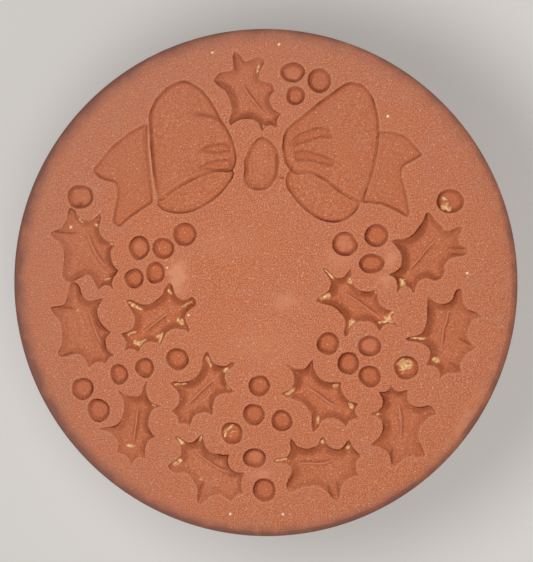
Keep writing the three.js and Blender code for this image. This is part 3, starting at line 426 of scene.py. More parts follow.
def smooth_loop(corners, steps=8):
    """A smooth closed outline through the corners."""
    ring = np.array(corners, float)
    edge = []
    for i in range(len(ring)):
        before, start, end, after = (ring[(i + k) % len(ring)] for k in (-1, 0, 1, 2))
        reach_in, reach, reach_out = (np.linalg.norm(b - a) ** 0.5
                                      for a, b in ((before, start), (start, end), (end, after)))
        leave = ((start - before) / reach_in - (end - before) / (reach_in + reach)
                 + (end - start) / reach) * reach
        arrive = ((end - start) / reach - (after - start) / (reach + reach_out)
                  + (after - end) / reach_out) * reach
        for t in np.arange(steps) / steps:
            edge.append((2 * t**3 - 3 * t**2 + 1) * start + (t**3 - 2 * t**2 + t) * leave
                        + (3 * t**2 - 2 * t**3) * end + (t**3 - t**2) * arrive)
    return np.array(edge)


def oval(centre, radii, steps=56):
    """A round or oval outline."""
    turn = np.linspace(0, math.tau, steps, endpoint=False)
    return np.stack([centre[0] + radii[0] * np.cos(turn), centre[1] + radii[-1] * np.sin(turn)], 1)


def hand_cut(edge, amount, seed):
    """An outline as a hand cuts it, a little uneven."""
    places = flat(*edge.T, 7.3)
    sway = np.stack([lumps(places, 1.1, seed), lumps(places, 1.1, seed + 1)], 1)
    return edge + amount * sway


def wall_shares(x, y, edge, walls, tips=()):
    """For places on the face: how far across its wall each is (1 or more is floor, below 0 outside), the
    distance to the outline, the nearest point of it, and 1 where the walls near it face the rim and the lower
    right, which get more painted shade, or 0 where they face the centre. The walls narrow towards the tips."""
    inner_width, rim_width = walls[:2]
    middle = (edge + np.roll(edge, -1, axis=0)) / 2
    run = np.roll(edge, -1, axis=0) - edge
    inward = np.stack([-run[:, 1], run[:, 0]], 1) / np.linalg.norm(run, axis=1, keepdims=True)
    outward_face = 0.8 * (inward * middle).sum(1) / np.linalg.norm(middle, axis=1)
    outward_face += 0.55 * inward @ MOULD_LEAN
    for _ in range(6):
        outward_face = (outward_face + np.roll(outward_face, 1) + np.roll(outward_face, -1)) / 3
    facing = np.clip(0.5 + 0.6 * outward_face, 0, 1)
    width = rim_width + (inner_width - rim_width) * facing
    if len(tips):
        to_tip = np.min([np.hypot(*(edge - tip).T) for tip in np.array(tips)], axis=0)
        width *= 0.5 + 0.6 * np.clip(to_tip / 1.2, 0, 1)
    next_width = np.roll(width, -1)
    share = np.full(len(x), np.inf)
    nearest = np.full(len(x), np.inf)
    foot = np.zeros((len(x), 2))
    facing_rim, weights = np.zeros(len(x)), np.full(len(x), 1e-12)
    inside = np.zeros(len(x), bool)
    for i in range(len(edge)):
        (ax, ay), (rx, ry) = edge[i], run[i]
        t = np.clip(((x - ax) * rx + (y - ay) * ry) / (rx * rx + ry * ry), 0, 1)
        fx, fy = ax + t * rx, ay + t * ry
        away = np.hypot(x - fx, y - fy)
        share = np.minimum(share, away / (width[i] + t * (next_width[i] - width[i])))
        closer = away < nearest
        nearest[closer] = away[closer]
        foot[closer] = np.stack([fx, fy], 1)[closer]
        weight = np.exp(-away / 0.12) * math.hypot(rx, ry)
        facing_rim += weight * facing[i]
        weights += weight
        if ry:
            inside ^= ((ay > y) != (ay + ry > y)) & (x < ax + (y - ay) * rx / ry)
    return np.where(inside, share, -nearest), nearest, foot, facing_rim / weights


def wall_drop(share, crisp, steep):
    """How far down a wall is, from 0 at its lip to 1 on the floor. A crisp wall drops at once from its lip,
    and a soft one rolls over it."""
    share = np.clip(share, 0, 1)
    return crisp * (1 - (1 - share) ** steep) + (1 - crisp) * (3 * share**2 - 2 * share**3)


def along_curve(x, y, points):
    """Distance to a smooth line through points, below 0 on its right, and how far along the line the nearest
    place is, from 0 to 1."""
    line = drawn_curve(np.array(points, float), 5 * (len(points) - 1))
    off, share = np.full(len(x), np.inf), np.zeros(len(x))
    for i, ((ax, ay), (rx, ry)) in enumerate(zip(line, np.diff(line, axis=0))):
        t = np.clip(((x - ax) * rx + (y - ay) * ry) / (rx * rx + ry * ry), 0, 1)
        distance = np.copysign(np.hypot(x - ax - t * rx, y - ay - t * ry), (y - ay) * rx - (x - ax) * ry)
        closer = np.abs(distance) < np.abs(off)
        off[closer], share[closer] = distance[closer], ((i + t) / (len(line) - 1))[closer]
    return off, share


# The face is a fine net of clay in a round field, whose points near an outline are drawn on to it, so that
# every lip is crisp.
NET = 580
RIM_ROUND = 0.7
FIELD_R = HEAD_R - RIM_ROUND
SNAP = 0.046

side = np.linspace(-1, 1, NET + 1)
across, up = (grid.ravel() for grid in np.meshgrid(side, side, indexing="ij"))
wide = np.abs(across) > np.abs(up)
with np.errstate(divide="ignore", invalid="ignore"):
    angle = np.where(wide, math.pi / 4 * up / across, math.pi / 2 - math.pi / 4 * across / up)
angle[np.isnan(angle)] = 0
radius = np.where(wide, across, up) * FIELD_R
face_x, face_y = radius * np.cos(angle) - WREATH_X, radius * np.sin(angle) - WREATH_Y
depth = np.zeros(len(face_x))
tint = np.zeros(len(face_x))
dough = np.zeros(len(face_x))
# wall holds painted shade: on the walls of the hollows, as a dark line along their lips, beside the midribs and
# in the creases.
wall = np.zeros(len(face_x))
rubbed = np.zeros(len(face_x))


def near(edge, margin=0.6):
    """The points of the net round an outline."""
    low, high = edge.min(0) - margin, edge.max(0) + margin
    return np.flatnonzero((face_x > low[0]) & (face_x < high[0]) & (face_y > low[1]) & (face_y < high[1]))


def snap(edge):
    """Draws the nearest points of the net on to an outline."""
    here = near(edge)
    _, away, foot, _ = wall_shares(face_x[here], face_y[here], edge, (1, 1))
    close = away < SNAP
    face_x[here[close]], face_y[here[close]] = foot[close].T


def sink(edge, walls, floor, tone, on_top=False, tips=()):
    """Sinks an outline in the face. floor gives the depth at places, and tone how much the clay there differs
    in colour. With on_top it goes down from what is there already."""
    here = near(edge)
    x, y = face_x[here], face_y[here]
    share, away, _, faces_rim = wall_shares(x, y, edge, walls, tips)
    _, _, inner_brown, rim_brown, lip_dark, crisp = walls
    drop = floor(x, y, away) * wall_drop(share, crisp, 1.4 + 0.5 * faces_rim)
    lip = 0.012 * np.clip(1 - away / 0.14, 0, 1) ** 2
    # Painted shade: brown is how much a wall gets, slope spreads it down the wall, and lip_line is a dark
    # painted shadow line along the lip. Just outside the lip runs a pale painted highlight.
    brown = (rim_brown + (inner_brown - rim_brown) * faces_rim) * (1 + 0.45 * lumps(flat(x, y), 0.9, 61))
    slope = np.clip((1.05 - share) / (0.85 - 0.62 * faces_rim), 0, 1) * (1 - 0.3 * share)
    slope = np.where(share > 0, slope, 0) * (brown * np.clip(crisp + share / 0.3, 0, 1))
    uneven = np.clip(0.85 + 0.6 * lumps(flat(x, y), 0.9, 63), 0.3, 1.5)
    lip_line = lip_dark * brown * uneven * bell(away, 0, 0.11) * (share > -0.06)
    pushed_up = (0.35 - 0.15 * faces_rim) * bell(away, 0.13, 0.1) * (share < 0)
    if on_top:
        depth[here] += drop
        tint[here] += tone(x, y, away) * np.clip(share, 0, 1)
        return
    deeper = drop > depth[here]
    depth[here] = np.maximum(depth[here], np.maximum(drop, lip))
    tint[here] = np.where(deeper, tone(x, y, away) * np.clip(away / 0.1, 0, 1), tint[here])
    wall[here] = np.where(deeper, np.maximum(slope, lip_line), np.maximum(wall[here], lip_line))
    rubbed[here] = np.maximum(rubbed[here], pushed_up)


LEAF_UNEVEN, BERRY_UNEVEN = 0.035, 0.1
leaf_edges = [hand_cut(spiny(leaf["edge"]), LEAF_UNEVEN, 40 + i) for i, leaf in enumerate(LEAVES)]
berry_edges = [hand_cut(oval(*berry), BERRY_UNEVEN, 80 + i) for i, berry in enumerate(BERRIES)]
band_edges = [smooth_loop(edge) for edge, _ in BANDS]
inside_edges = [smooth_loop(edge) for edge in INSIDES]
tail_edges = [blunted(edge) for edge in TAILS]
pleat_edges = [smooth_loop(edge) for edge in PLEATS]
knot_edge = smooth_loop(KNOT, 4)

for edge in leaf_edges + berry_edges + band_edges + tail_edges + [knot_edge]:
    snap(edge)

face_points = flat(face_x, face_y)


def even(value):
    """A depth or tone that is the same all over."""
    return lambda x, y, away: value


def browner_edge(middle_tone, more, place, width):
    """The tone of a floor that is browner in a band along its edge: painted shade where the wall rises."""
    return lambda x, y, away: middle_tone + more * bell(away, place, width)


loop_tone = browner_edge(0.45, 0.45, 0.2, 0.6)
for edge in tail_edges:
    sink(edge, TAIL_WALLS, even(TAIL_DEPTH), browner_edge(0.55, 0.3, 0.2, 0.8))
for edge in inside_edges:
    sink(edge, INSIDE_WALLS, even(INSIDE_DEPTH), loop_tone)
for edge, (outline, line) in zip(band_edges, BANDS):
    outer_end = min(outline, key=lambda corner: corner[1] - abs(corner[0]))

    def band_floor(x, y, away):
        """A band is deepest at its far end, and comes up to meet the inside of the loop where it turns."""
        bed = np.interp(along_curve(x, y, line)[1], (0, 1), BAND_DEPTHS)
        turn = np.clip(np.hypot(x - outer_end[0], y - outer_end[1]) / 3.2, 0, 1)
        return INSIDE_DEPTH + (bed - INSIDE_DEPTH) * turn

    sink(edge, BAND_WALLS, band_floor, loop_tone)
for edge in pleat_edges:
    sink(edge, PLEAT_WALLS, even(PLEAT_DEPTH), even(0.8), on_top=True)


def knot_floor(x, y, away):
    """The knot is a shallow bowl."""
    out = ((x - KNOT_MIDDLE[0]) / 1.6) ** 2 + ((y - KNOT_MIDDLE[1]) / 2.5) ** 2
    crumpled = lumps(flat(x, y / 2), 0.4, 78)
    return KNOT_EDGE_DEPTH + (KNOT_DEPTH - KNOT_EDGE_DEPTH) * np.clip(1 - out, 0, 1) + 0.03 * crumpled


sink(knot_edge, KNOT_WALLS, knot_floor, browner_edge(0.3, 0.6, 0.1, 0.5))

for edge, (centre, radii) in zip(berry_edges, BERRIES):
    def berry_floor(x, y, away):
        out = ((x - centre[0]) / radii[0]) ** 2 + ((y - centre[1]) / radii[-1]) ** 2
        return BERRY_DEPTH * (0.9 + 0.1 * np.clip(1 - out, 0, 1))

    def berry_tone(x, y, away):
        """A berry's floor is brown, partly its own tone and partly painted shade in the small hollow, and
        dustier in places.
        """
        return 1.15 + 0.25 * lumps(flat(x, y), 0.5, 62)

    sink(edge, BERRY_WALLS, berry_floor, berry_tone)

for number, (leaf, edge) in enumerate(zip(LEAVES, leaf_edges)):
    start, end = (np.array(leaf["rib"][k]) for k in (0, -1))
    run = (end - start) / np.linalg.norm(end - start)

    def streaks(x, y, length, size):
        """Fine lines that run beside a leaf's midrib."""
        along = (x - start[0]) * run[0] + (y - start[1]) * run[1]
        aside = (y - start[1]) * run[0] - (x - start[0]) * run[1]
        return lumps(flat(along / length, aside, number), size, 300 + number)

    def leaf_floor(x, y, away):
        """A leaf's floor, with its midrib and the lines beside it. It is less deep in the spines and towards
        the rim."""
        off, t = along_curve(x, y, leaf["rib"])
        taper = tapered(t, 4, 0.25)
        ends = np.where((t > 0) & (t < 1), 1, bell(off, 0, 0.2))
        rib = RIB_HEIGHT * bell(off, 0, RIB_HALF) * taper * ends
        groove = RIB_GROOVE * bell(off, 2.3 * RIB_HALF, RIB_HALF) * taper * ends
        swell = lumps(flat(x, y), 1.6, 320 + number)
        bed = np.interp(np.hypot(x, y), (15, 22), (LEAF_DEPTH, RIM_SIDE_DEPTH))
        inwards = np.clip(away / 1.2, 0, 1)
        return bed * (0.75 + 0.25 * inwards) - rib + groove + 0.016 * streaks(x, y, 6, 0.28) + 0.05 * swell

    def leaf_tone(x, y, away):
        """The spines and the sloping edges are a warmer brown than the floor, in patches: painted shade."""
        patches = np.clip(0.35 + 0.4 * lumps(flat(x, y), 1.7, 340 + number), 0, 1)
        return leaf.get("brown", LEAF_BROWN) + 0.3 * streaks(x, y, 7, 0.22) + patches * bell(away, 0.3, 0.5)

    sink(edge, LEAF_WALLS, leaf_floor, leaf_tone, tips=[stretch[0] for stretch in leaf["edge"]])
    # Thin lines of painted shade beside each midrib, and a painted highlight along its crest.
    here = near(edge)
    off, t = along_curve(face_x[here], face_y[here], leaf["rib"])
    fade = tapered(t, 5)
    for brown, place, width in ((0.8, 0.19, 0.07), (0.4, -0.17, 0.06)):
        wall[here] = np.maximum(wall[here], brown * fade * bell(off, place, width))
    rubbed[here] = np.maximum(rubbed[here], 0.8 * fade * bell(off, 0, 0.08))

for line, half_width, crease_depth in CREASES:
    here = near(np.array(line))
    off, t = along_curve(face_x[here], face_y[here], line)
    across_it = bell(off, 0, half_width) * tapered(t, 5, 0.3)
    depth[here] += crease_depth * across_it
    # Painted shade along each crease.
    wall[here] = np.maximum(wall[here], 0.9 * across_it)
for line, half_width in RIDGES:
    here = near(np.array(line))
    off, t = along_curve(face_x[here], face_y[here], line)
    left_of_it = tapered(t, 5) * bell(np.maximum(off, 0), 0, 0.55) * (off > -half_width)
    wall[here] *= 1 - left_of_it
    depth[here] *= 1 - 0.75 * left_of_it
    rubbed[here] = np.maximum(rubbed[here], 0.75 * tapered(t, 5) * bell(off, 0, half_width))

# Dried dough: the middle of each crumb, half its length and width, and the way it runs in degrees. It fills
# what is sunk to a little below the face.
CRUMBS = [
    (-0.7, 21.3, 0.42, 0.14, 78), (-0.2, 15.5, 0.2, 0.13, 60), (-17.3, 5.8, 0.22, 0.15, 0),
    (-15.65, 3.8, 0.22, 0.1, -20), (-16.2, 0.3, 0.42, 0.08, 8), (-19.8, 5.6, 0.12, 0.1, 0),
    (-18.8, 6.2, 0.28, 0.08, -50), (-19.3, -2.9, 0.2, 0.12, 20), (-13.2, -2.5, 0.66, 0.15, -30),
    (-9.75, -1.05, 0.34, 0.16, -60), (-8, -2.2, 0.56, 0.11, 27), (-8.65, -3.95, 0.42, 0.22, -50),
    (-8.75, -3.85, 0.3, 0.16, 10), (-10.75, -5.7, 0.5, 0.13, 72), (-10.9, -5.45, 0.3, 0.2, 20),
    (-13.1, -6.1, 0.5, 0.24, -8), (-12.9, -6.35, 0.34, 0.2, -70), (-12.5, -5.95, 0.3, 0.1, 30),
    (-13.4, -5.9, 0.26, 0.1, 60), (-13.6, -5.15, 0.46, 0.12, 22), (-5.85, -7.9, 0.5, 0.16, -68),
    (-4.1, -8.8, 0.36, 0.13, 28), (-8.7, -10.3, 0.56, 0.11, 4), (-3.8, -10.6, 0.24, 0.11, -45),
    (-14.3, -11.4, 0.3, 0.1, -35), (-13.7, -16.6, 0.4, 0.12, -8), (-11.3, -12.4, 0.26, 0.11, 10),
    (-8.7, -16, 0.56, 0.18, -42), (-9.1, -18.2, 0.55, 0.25, 33), (-6.6, -15.7, 0.3, 0.11, 58),
    (-6.6, -19.8, 0.16, 0.15, 0), (2.4, -10.9, 0.5, 0.24, 33), (5.15, -13.7, 0.45, 0.15, 82),
    (7, -10.3, 0.3, 0.17, 10), (8.5, -12.3, 0.36, 0.24, -35), (1.4, -17.75, 0.6, 0.1, 8),
    (5.7, -15.9, 0.24, 0.18, 80), (8.2, -16.4, 0.22, 0.12, 25), (11.2, -13.05, 0.2, 0.1, 10),
    (15.1, -5.5, 0.7, 0.08, -3), (17, -7.7, 0.36, 0.22, -20), (13.6, 0.05, 0.5, 0.28, -75),
    (6.3, 0.85, 0.7, 0.1, -45), (8.35, 0.15, 0.38, 0.22, -65), (11.05, -0.95, 0.16, 0.12, 0),
    (12.15, -3.6, 0.3, 0.26, 0), (12.5, -3.1, 0.48, 0.13, 38), (11.85, -3.85, 0.52, 0.14, 10),
    (12.45, -3.85, 0.32, 0.18, -45), (5.9, -1.5, 0.66, 0.2, 10), (6.2, -1.4, 0.3, 0.26, 40),
    (8.5, -4.05, 0.4, 0.18, 72), (8.65, -3.85, 0.26, 0.14, 0), (17.8, 7.5, 0.4, 0.28, 20),
    (18.25, 7.3, 0.3, 0.16, 60), (17.75, 8.3, 0.3, 0.2, -15), (18.1, 7.95, 0.2, 0.14, 40),
    (13.82, -8.2, 0.72, 0.66, -40), (-3.75, -14.7, 0.55, 0.13, 35), (-4.1, -15.15, 0.4, 0.1, 80),
    (-3.3, -15, 0.22, 0.08, -20),
]
DOUGH_BELOW = 0.22

for x, y, half_length, half_width, turn in CRUMBS:
    here = np.flatnonzero(np.hypot(face_x - x, face_y - y) < 1.5 * half_length + 0.2)
    c, s = math.cos(math.radians(turn)), math.sin(math.radians(turn))
    off_x, off_y = face_x[here] - x, face_y[here] - y
    out = np.hypot((off_x * c + off_y * s) / half_length, (off_y * c - off_x * s) / half_width)
    out += 0.35 * lumps(face_points[here], 0.35, 51) + 0.25 * lumps(face_points[here], 0.17, 53)
    level = DOUGH_BELOW + 0.08 * lumps(face_points[here], 0.4, 52) + 0.25 * np.clip(out - 0.5, 0, 1)
    filled = (out < 1.1) & (depth[here] > 0.06)
    depth[here[filled]] = np.minimum(depth[here[filled]], level[filled])
    dough[here[filled]] = np.clip(0.85 + 0.6 * lumps(face_points[here[filled]], 0.2, 58), 0.35, 1)

# Specks of flour on the face, and places where it is rubbed pale: the middle, the radii across and up, and how
# pale.
SPECKS = [(12.2, 16.4), (-9.95, 1.45), (20, 0.95), (-7.8, -3.3), (-3.6, -23.3), (1.7, -23.2), (1.4, 23.6),
          (-5.3, 22.9), (-19.9, 5.55), (12.9, -21.5)]
PALE_PLACES = [(-8.9, 0.6, 0.8, 1.5, 1.4), (2.2, -2, 1.4, 0.9, 0.5), (7.3, 2.5, 1.3, 0.9, 0.5),
               (12, 0.3, 0.8, 0.7, 0.8), (12.4, 2.6, 0.7, 0.8, 0.8), (-0.5, -19.3, 1.3, 0.5, 0.6),
               (20.4, -14.2, 1, 1.6, 0.6), (0, -6.3, 3.5, 2, 0.25), (-4.4, 4, 2.5, 1.2, 0.2)]

# Dusty films in some berries: the middle of each, its radius and how pale it is.
FILMS = [(10.1, -6.2, 1, 0.3), (2.95, 20.5, 1, 0.3), (7.8, 4, 1, 0.5), (-1.15, -17.6, 0.8, 0.35),
         (-18.6, 8.7, 1.1, 0.15), (-12.8, 3.5, 0.7, 0.35)]
for x, y, film_radius, pale in FILMS:
    out = np.hypot(face_x - x, face_y - y) / film_radius + 0.5 * lumps(face_points, 0.35, 55)
    rubbed = np.maximum(rubbed, pale * np.clip(1.3 - out, 0, 1))
for x, y in SPECKS:
    near_it = np.hypot(face_x - x, face_y - y) < 0.12
    dough[near_it] = 2
    depth[near_it] -= 0.03
for x, y, reach_x, reach_y, pale in PALE_PLACES:
    out = np.hypot((face_x - x) / reach_x, (face_y - y) / reach_y) + 0.5 * lumps(face_points, 0.5, 54)
    rubbed = np.maximum(rubbed, np.where(depth < 0.05, pale * np.exp(-np.clip(out, 0, 9) ** 2), 0))

WAVES, GRIT = 0.012, 0.003
face_z = FACE_Z - depth
face_z -= WAVES * (1 + lumps(face_points, 4.5, 11)) + GRIT * (1 + lumps(face_points, 0.3, 12))
face_z = np.minimum(face_z, FACE_Z)

# Below the face, rings of points go round the rim and the side, and in along the back to the handle.
BACK_ROUND = 1.5
SEAT_R = 14
BACK_SLOPE = 1.5
back_edge_z = BACK_Z + BACK_SLOPE + BACK_ROUND

order = np.arange((NET + 1) ** 2).reshape(NET + 1, NET + 1)
rim_loop = np.concatenate([order[NET, :-1], order[:0:-1, NET], order[0, :0:-1], order[:-1, 0]])
rim_angle = np.arctan2(face_y[rim_loop] + WREATH_Y, face_x[rim_loop] + WREATH_X)


def ring_of(angles, r, z):
    """A ring of points round the stamp's axis."""
    return flat(r * np.cos(angles), r * np.sin(angles), z)


def quads(*corners):
    """Faces with four corners, from the numbers of their points."""
    return [tuple(map(int, quad)) for quad in zip(*corners)]


head_points = [np.column_stack([face_x + WREATH_X, face_y + WREATH_Y, face_z])]
head_faces = quads(*(part.ravel() for part in (order[:-1, :-1], order[1:, :-1], order[1:, 1:], order[:-1, 1:])))
fine_profile = [(FIELD_R + RIM_ROUND * math.cos(a), FACE_Z - RIM_ROUND + RIM_ROUND * math.sin(a))
                for a in (math.radians(degrees) for degrees in np.linspace(90, 0, 15)[1:])]
coarse_angle = rim_angle[::4]
coarse_profile = [(HEAD_R, z) for z in np.linspace(FACE_Z - RIM_ROUND, back_edge_z, 7)[1:]]
coarse_profile += [(HEAD_R - BACK_ROUND + BACK_ROUND * math.cos(a), back_edge_z + BACK_ROUND * math.sin(a))
                   for a in np.radians(np.linspace(0, -81, 10)[1:])]
slope_start = coarse_profile[-1]
coarse_profile += [(r, float(np.interp(r, (SEAT_R, slope_start[0]), (BACK_Z, slope_start[1]))))
                   for r in np.linspace(slope_start[0], SEAT_R, 16)[1:]]
coarse_profile += [(r, BACK_Z) for r in (13, 12, 10, 8, 5, 2.5)]

upper = rim_loop
count = len(face_x)
for r, z in fine_profile:
    head_points.append(ring_of(rim_angle, r, z))
    lower = count + np.arange(len(rim_angle))
    count += len(rim_angle)
    head_faces += quads(upper, lower, np.roll(lower, -1), np.roll(upper, -1))
    upper = lower
for number, (r, z) in enumerate(coarse_profile):
    head_points.append(ring_of(coarse_angle, r, z))
    lower = count + np.arange(len(coarse_angle))
    count += len(coarse_angle)
    after = np.roll(lower, -1)
    if number == 0:
        for i, (low, low_next) in enumerate(zip(lower, after)):
            top = [int(upper[(4 * i + k) % len(upper)]) for k in range(5)]
            low, low_next = int(low), int(low_next)
            head_faces += [(top[0], low, top[1]), (top[1], low, top[2]), (top[2], low, low_next),
                           (top[2], low_next, top[3]), (top[3], low_next, top[4])]
    else:
        head_faces += quads(upper, lower, after, np.roll(upper, -1))
    upper = lower
head_points.append(np.array([[0, 0, BACK_Z]]))
head_faces += [(int(a), count, int(b)) for a, b in zip(upper, np.roll(upper, -1))]
head_points = np.concatenate(head_points)


def fired_piece(name, points, faces, node, material):
    """Makes a piece of clay that rides on the stamp and stands for its plain solid."""
    mesh = bpy.data.meshes.new(name)
    mesh.from_pydata((points * METRES).tolist(), [], faces)
    mesh.shade_smooth()
    mesh.materials.append(material)
    piece = bpy.data.objects.new(name, mesh)
    bpy.context.scene.collection.objects.link(piece)
    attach(piece, "root")
    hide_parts(node)
    return piece


def srgb(red, green, blue):
    """A colour as measured on a screen, as the shaders take it."""
    shares = (value / 255 for value in (red, green, blue))
    return (*(s / 12.92 if s <= 0.04045 else ((s + 0.055) / 1.055) ** 2.4 for s in shares), 1)


def add_node(tree, kind, inputs, **settings):
    """Adds a node, with its inputs set to values or joined to other nodes."""
    node = tree.nodes.new(kind)
    for name, value in settings.items():
        setattr(node, name, value)
    for name, value in inputs.items():
        if isinstance(value, bpy.types.NodeSocket):
            tree.links.new(value, node.inputs[name])
        else:
            node.inputs[name].default_value = value
    return node


def mixed(tree, share, first, second):
    """One colour turning into another."""
    return add_node(tree, "ShaderNodeMix", {0: share, 6: first, 7: second}, data_type="RGBA").outputs[2]


def ranged(tree, value, low, high, to_low=0.0, to_high=1.0):
    """A number stretched from one range to another."""
    inputs = {"Value": value, "From Min": low, "From Max": high, "To Min": to_low, "To Max": to_high}
    return add_node(tree, "ShaderNodeMapRange", inputs).outputs["Result"]


def summed(tree, operation, first, second):
    """Two numbers added, multiplied and so on."""
    return add_node(tree, "ShaderNodeMath", {0: first, 1: second}, operation=operation).outputs[0]


CLAY = srgb(195, 112, 77)
CLAY_WARM = srgb(198, 111, 71)
CLAY_DUSTY = srgb(190, 120, 94)
# Painted sheen.
CLAY_BLOOM = srgb(184, 127, 108)
# Wear, and painted highlights.
CLAY_RUBBED = srgb(216, 144, 111)
# Smoke clouding, and painted shade at the rim.
CLAY_SMOKED = srgb(140, 92, 78)
# Floors of the hollows: their own tone, with painted shade.
CLAY_FLOOR = srgb(188, 102, 61)
# The colour of painted shade.
CLAY_CREVICE = srgb(122, 46, 6)
GRAIN_LIGHT = srgb(213, 142, 108)
GRAIN_DARK = srgb(172, 95, 63)
# Painted glints.
MICA = srgb(229, 172, 147)
IRON = srgb(96, 50, 40)
DOUGH = srgb(248, 206, 148)
DOUGH_THIN = srgb(214, 154, 104)
FLOUR = srgb(246, 226, 208)


def fired_clay(name):
    """Unglazed red clay: clouded by the fire, with fine grains, painted pale glints and a few dark specks. Its
    floors with painted shade along their walls, painted sheen, wear and painted highlights, smoke and painted
    shade at the rim, painted shade on walls, in creases and in corners, and dough are where the piece's mesh is
    marked with them."""
    material = bpy.data.materials.new(name)
    material.use_nodes = True
    tree = material.node_tree
    shader = tree.nodes["Principled BSDF"]
    place = add_node(tree, "ShaderNodeTexCoord", {}).outputs["Object"]
    mm = add_node(tree, "ShaderNodeMapping", {"Vector": place, "Scale": (1000, 1000, 1000)}).outputs["Vector"]

    def cloud(scale, detail=2.0, roughness=0.5):
        return add_node(tree, "ShaderNodeTexNoise", {"Vector": mm, "Scale": scale, "Detail": detail,
                                                     "Roughness": roughness}).outputs["Fac"]

    def spots(scale, size):
        """Dots of a size in mm, about 1/scale apart, as a number that is 1 in a dot."""
        cells = add_node(tree, "ShaderNodeTexVoronoi", {"Vector": mm, "Scale": scale, "Randomness": 1.0})
        return ranged(tree, cells.outputs["Distance"], size * scale * 0.6, size * scale, 1, 0)

    def marked_with(layer):
        return add_node(tree, "ShaderNodeAttribute", {}, attribute_name=layer).outputs["Fac"]

    def times(first, second):
        return summed(tree, "MULTIPLY", first, second)

    colour = mixed(tree, ranged(tree, cloud(0.16), 0.35, 0.65), CLAY, CLAY_WARM)
    colour = mixed(tree, ranged(tree, cloud(0.45, 4), 0.5, 0.8), colour, CLAY_DUSTY)
    # Floors of the hollows: their own browner tone, and painted shade along the walls.
    sunk = marked_with("sunk")
    colour = mixed(tree, sunk, colour, CLAY_FLOOR)
    grain = cloud(8, 2, 0.6)
    smoothed = ranged(tree, sunk, 0, 1, 1, 0.6)
    colour = mixed(tree, times(ranged(tree, grain, 0.51, 0.59), smoothed), colour, GRAIN_LIGHT)
    colour = mixed(tree, times(ranged(tree, grain, 0.48, 0.36), smoothed), colour, GRAIN_DARK)
    # Painted glints: small pale dots.
    colour = mixed(tree, times(spots(1.7, 0.09), 0.75), colour, MICA)
    colour = mixed(tree, spots(0.3, 0.08), colour, MICA)
    colour = mixed(tree, spots(0.17, 0.13), colour, IRON)
    # A painted sheen towards the upper left.
    colour = mixed(tree, marked_with("bloomed"), colour, CLAY_BLOOM)
    # Wear, and painted highlights on lips, crests and the rim's shoulder.
    colour = mixed(tree, marked_with("rubbed"), colour, CLAY_RUBBED)
    # Smoke clouding in patches, and painted shade at the rim.
    patchy = times(marked_with("smoked"), ranged(tree, cloud(0.5, 4), 0.3, 0.7, 0.5, 1.5))
    colour = mixed(tree, patchy, colour, CLAY_SMOKED)
    # Painted shade on walls, along lips, in creases and in corners.
    colour = mixed(tree, marked_with("grime"), colour, CLAY_CREVICE)
    fill = marked_with("dough")
    crumb = mixed(tree, ranged(tree, cloud(3.5, 2), 0.42, 0.62), DOUGH, DOUGH_THIN)
    crumb = mixed(tree, ranged(tree, fill, 1, 2), crumb, FLOUR)
    colour = mixed(tree, fill, colour, crumb)
    tree.links.new(colour, shader.inputs["Base Color"])
    tree.links.new(ranged(tree, grain, 0.3, 0.7, 0.82, 0.95), shader.inputs["Roughness"])
    shader.inputs["Specular IOR Level"].default_value = 0.3
    pits = spots(0.6, 0.12)
    height = summed(tree, "SUBTRACT", summed(tree, "ADD", grain, times(cloud(9, 1), 0.4)), pits)
    bump = add_node(tree, "ShaderNodeBump", {"Height": height, "Strength": 0.5, "Distance": 0.00004})
    tree.links.new(bump.outputs["Normal"], shader.inputs["Normal"])
    return material


def mark(piece, **shares):
    """Marks a piece's mesh, point by point, with how far its clay is sunk, worn, and painted with sheen,
    highlight and shade, and so on.
    """
    for name, values in shares.items():
        layer = piece.data.attributes.new(name, "FLOAT", "POINT")
        layer.data.foreach_set("value", values.astype(np.float32))


head = fired_piece("head_with_wreath", head_points, head_faces, "stamp_head",
                   fired_clay("fired clay, pressed face"))
out = np.hypot(head_points[:, 0], head_points[:, 1]) / HEAD_R
upper_left = np.clip(0.5 + 0.35 * (head_points[:, 1] - head_points[:, 0]) / HEAD_R, 0, 1)
near_face = np.clip((head_points[:, 2] - BACK_Z) / 3, 0, 1)
# A painted sheen: the rim and its side paler and greyer towards the upper left.
bloom = 0.45 * out**3 * upper_left * near_face
lower_right = np.clip(0.2 + 0.6 * (head_points[:, 0] - head_points[:, 1]) / HEAD_R, 0, 1)
# Painted shade on the rim's rounding: darkest on the left and at the bottom, less at the lower right, and
# fading down the side.
smoke = 0.75 * np.clip((out - 0.925) / 0.075, 0, 1) ** 1.6 * (1 - 0.6 * lower_right)
smoke *= 1 + 1.4 * np.clip(-head_points[:, 0] / HEAD_R, 0, 1)
smoke += 0.4 * np.clip(-head_points[:, 1] / HEAD_R, 0, 1) ** 2 * np.clip((out - 0.95) / 0.03, 0, 1)
smoke *= near_face * (1 - 0.7 * np.clip((FACE_Z - 0.9 - head_points[:, 2]) / 1.2, 0, 1))
# Painted shade on the lower right of the rim's rounding, near the face.
handled = lower_right * np.clip((out * HEAD_R - FIELD_R - 0.1) / 0.12, 0, 1)
handled *= np.clip((head_points[:, 2] - FACE_Z + 1.4) / 0.6, 0, 1)
patches = np.clip(0.3 + 1.4 * lumps(head_points, 0.5, 56), 0, 1)
patches *= np.clip(0.5 + lumps(head_points, 3, 57), 0, 1)
# A pale painted highlight, in patches, on the lower right shoulder of the rim.
shoulder = lower_right * bell(out * HEAD_R - FIELD_R, -0.35, 0.4) * patches


def over_head(values):
    """Values that the face has, spread over the whole head, where the rest has none."""
    return np.pad(values, (0, len(head_points) - len(values)))


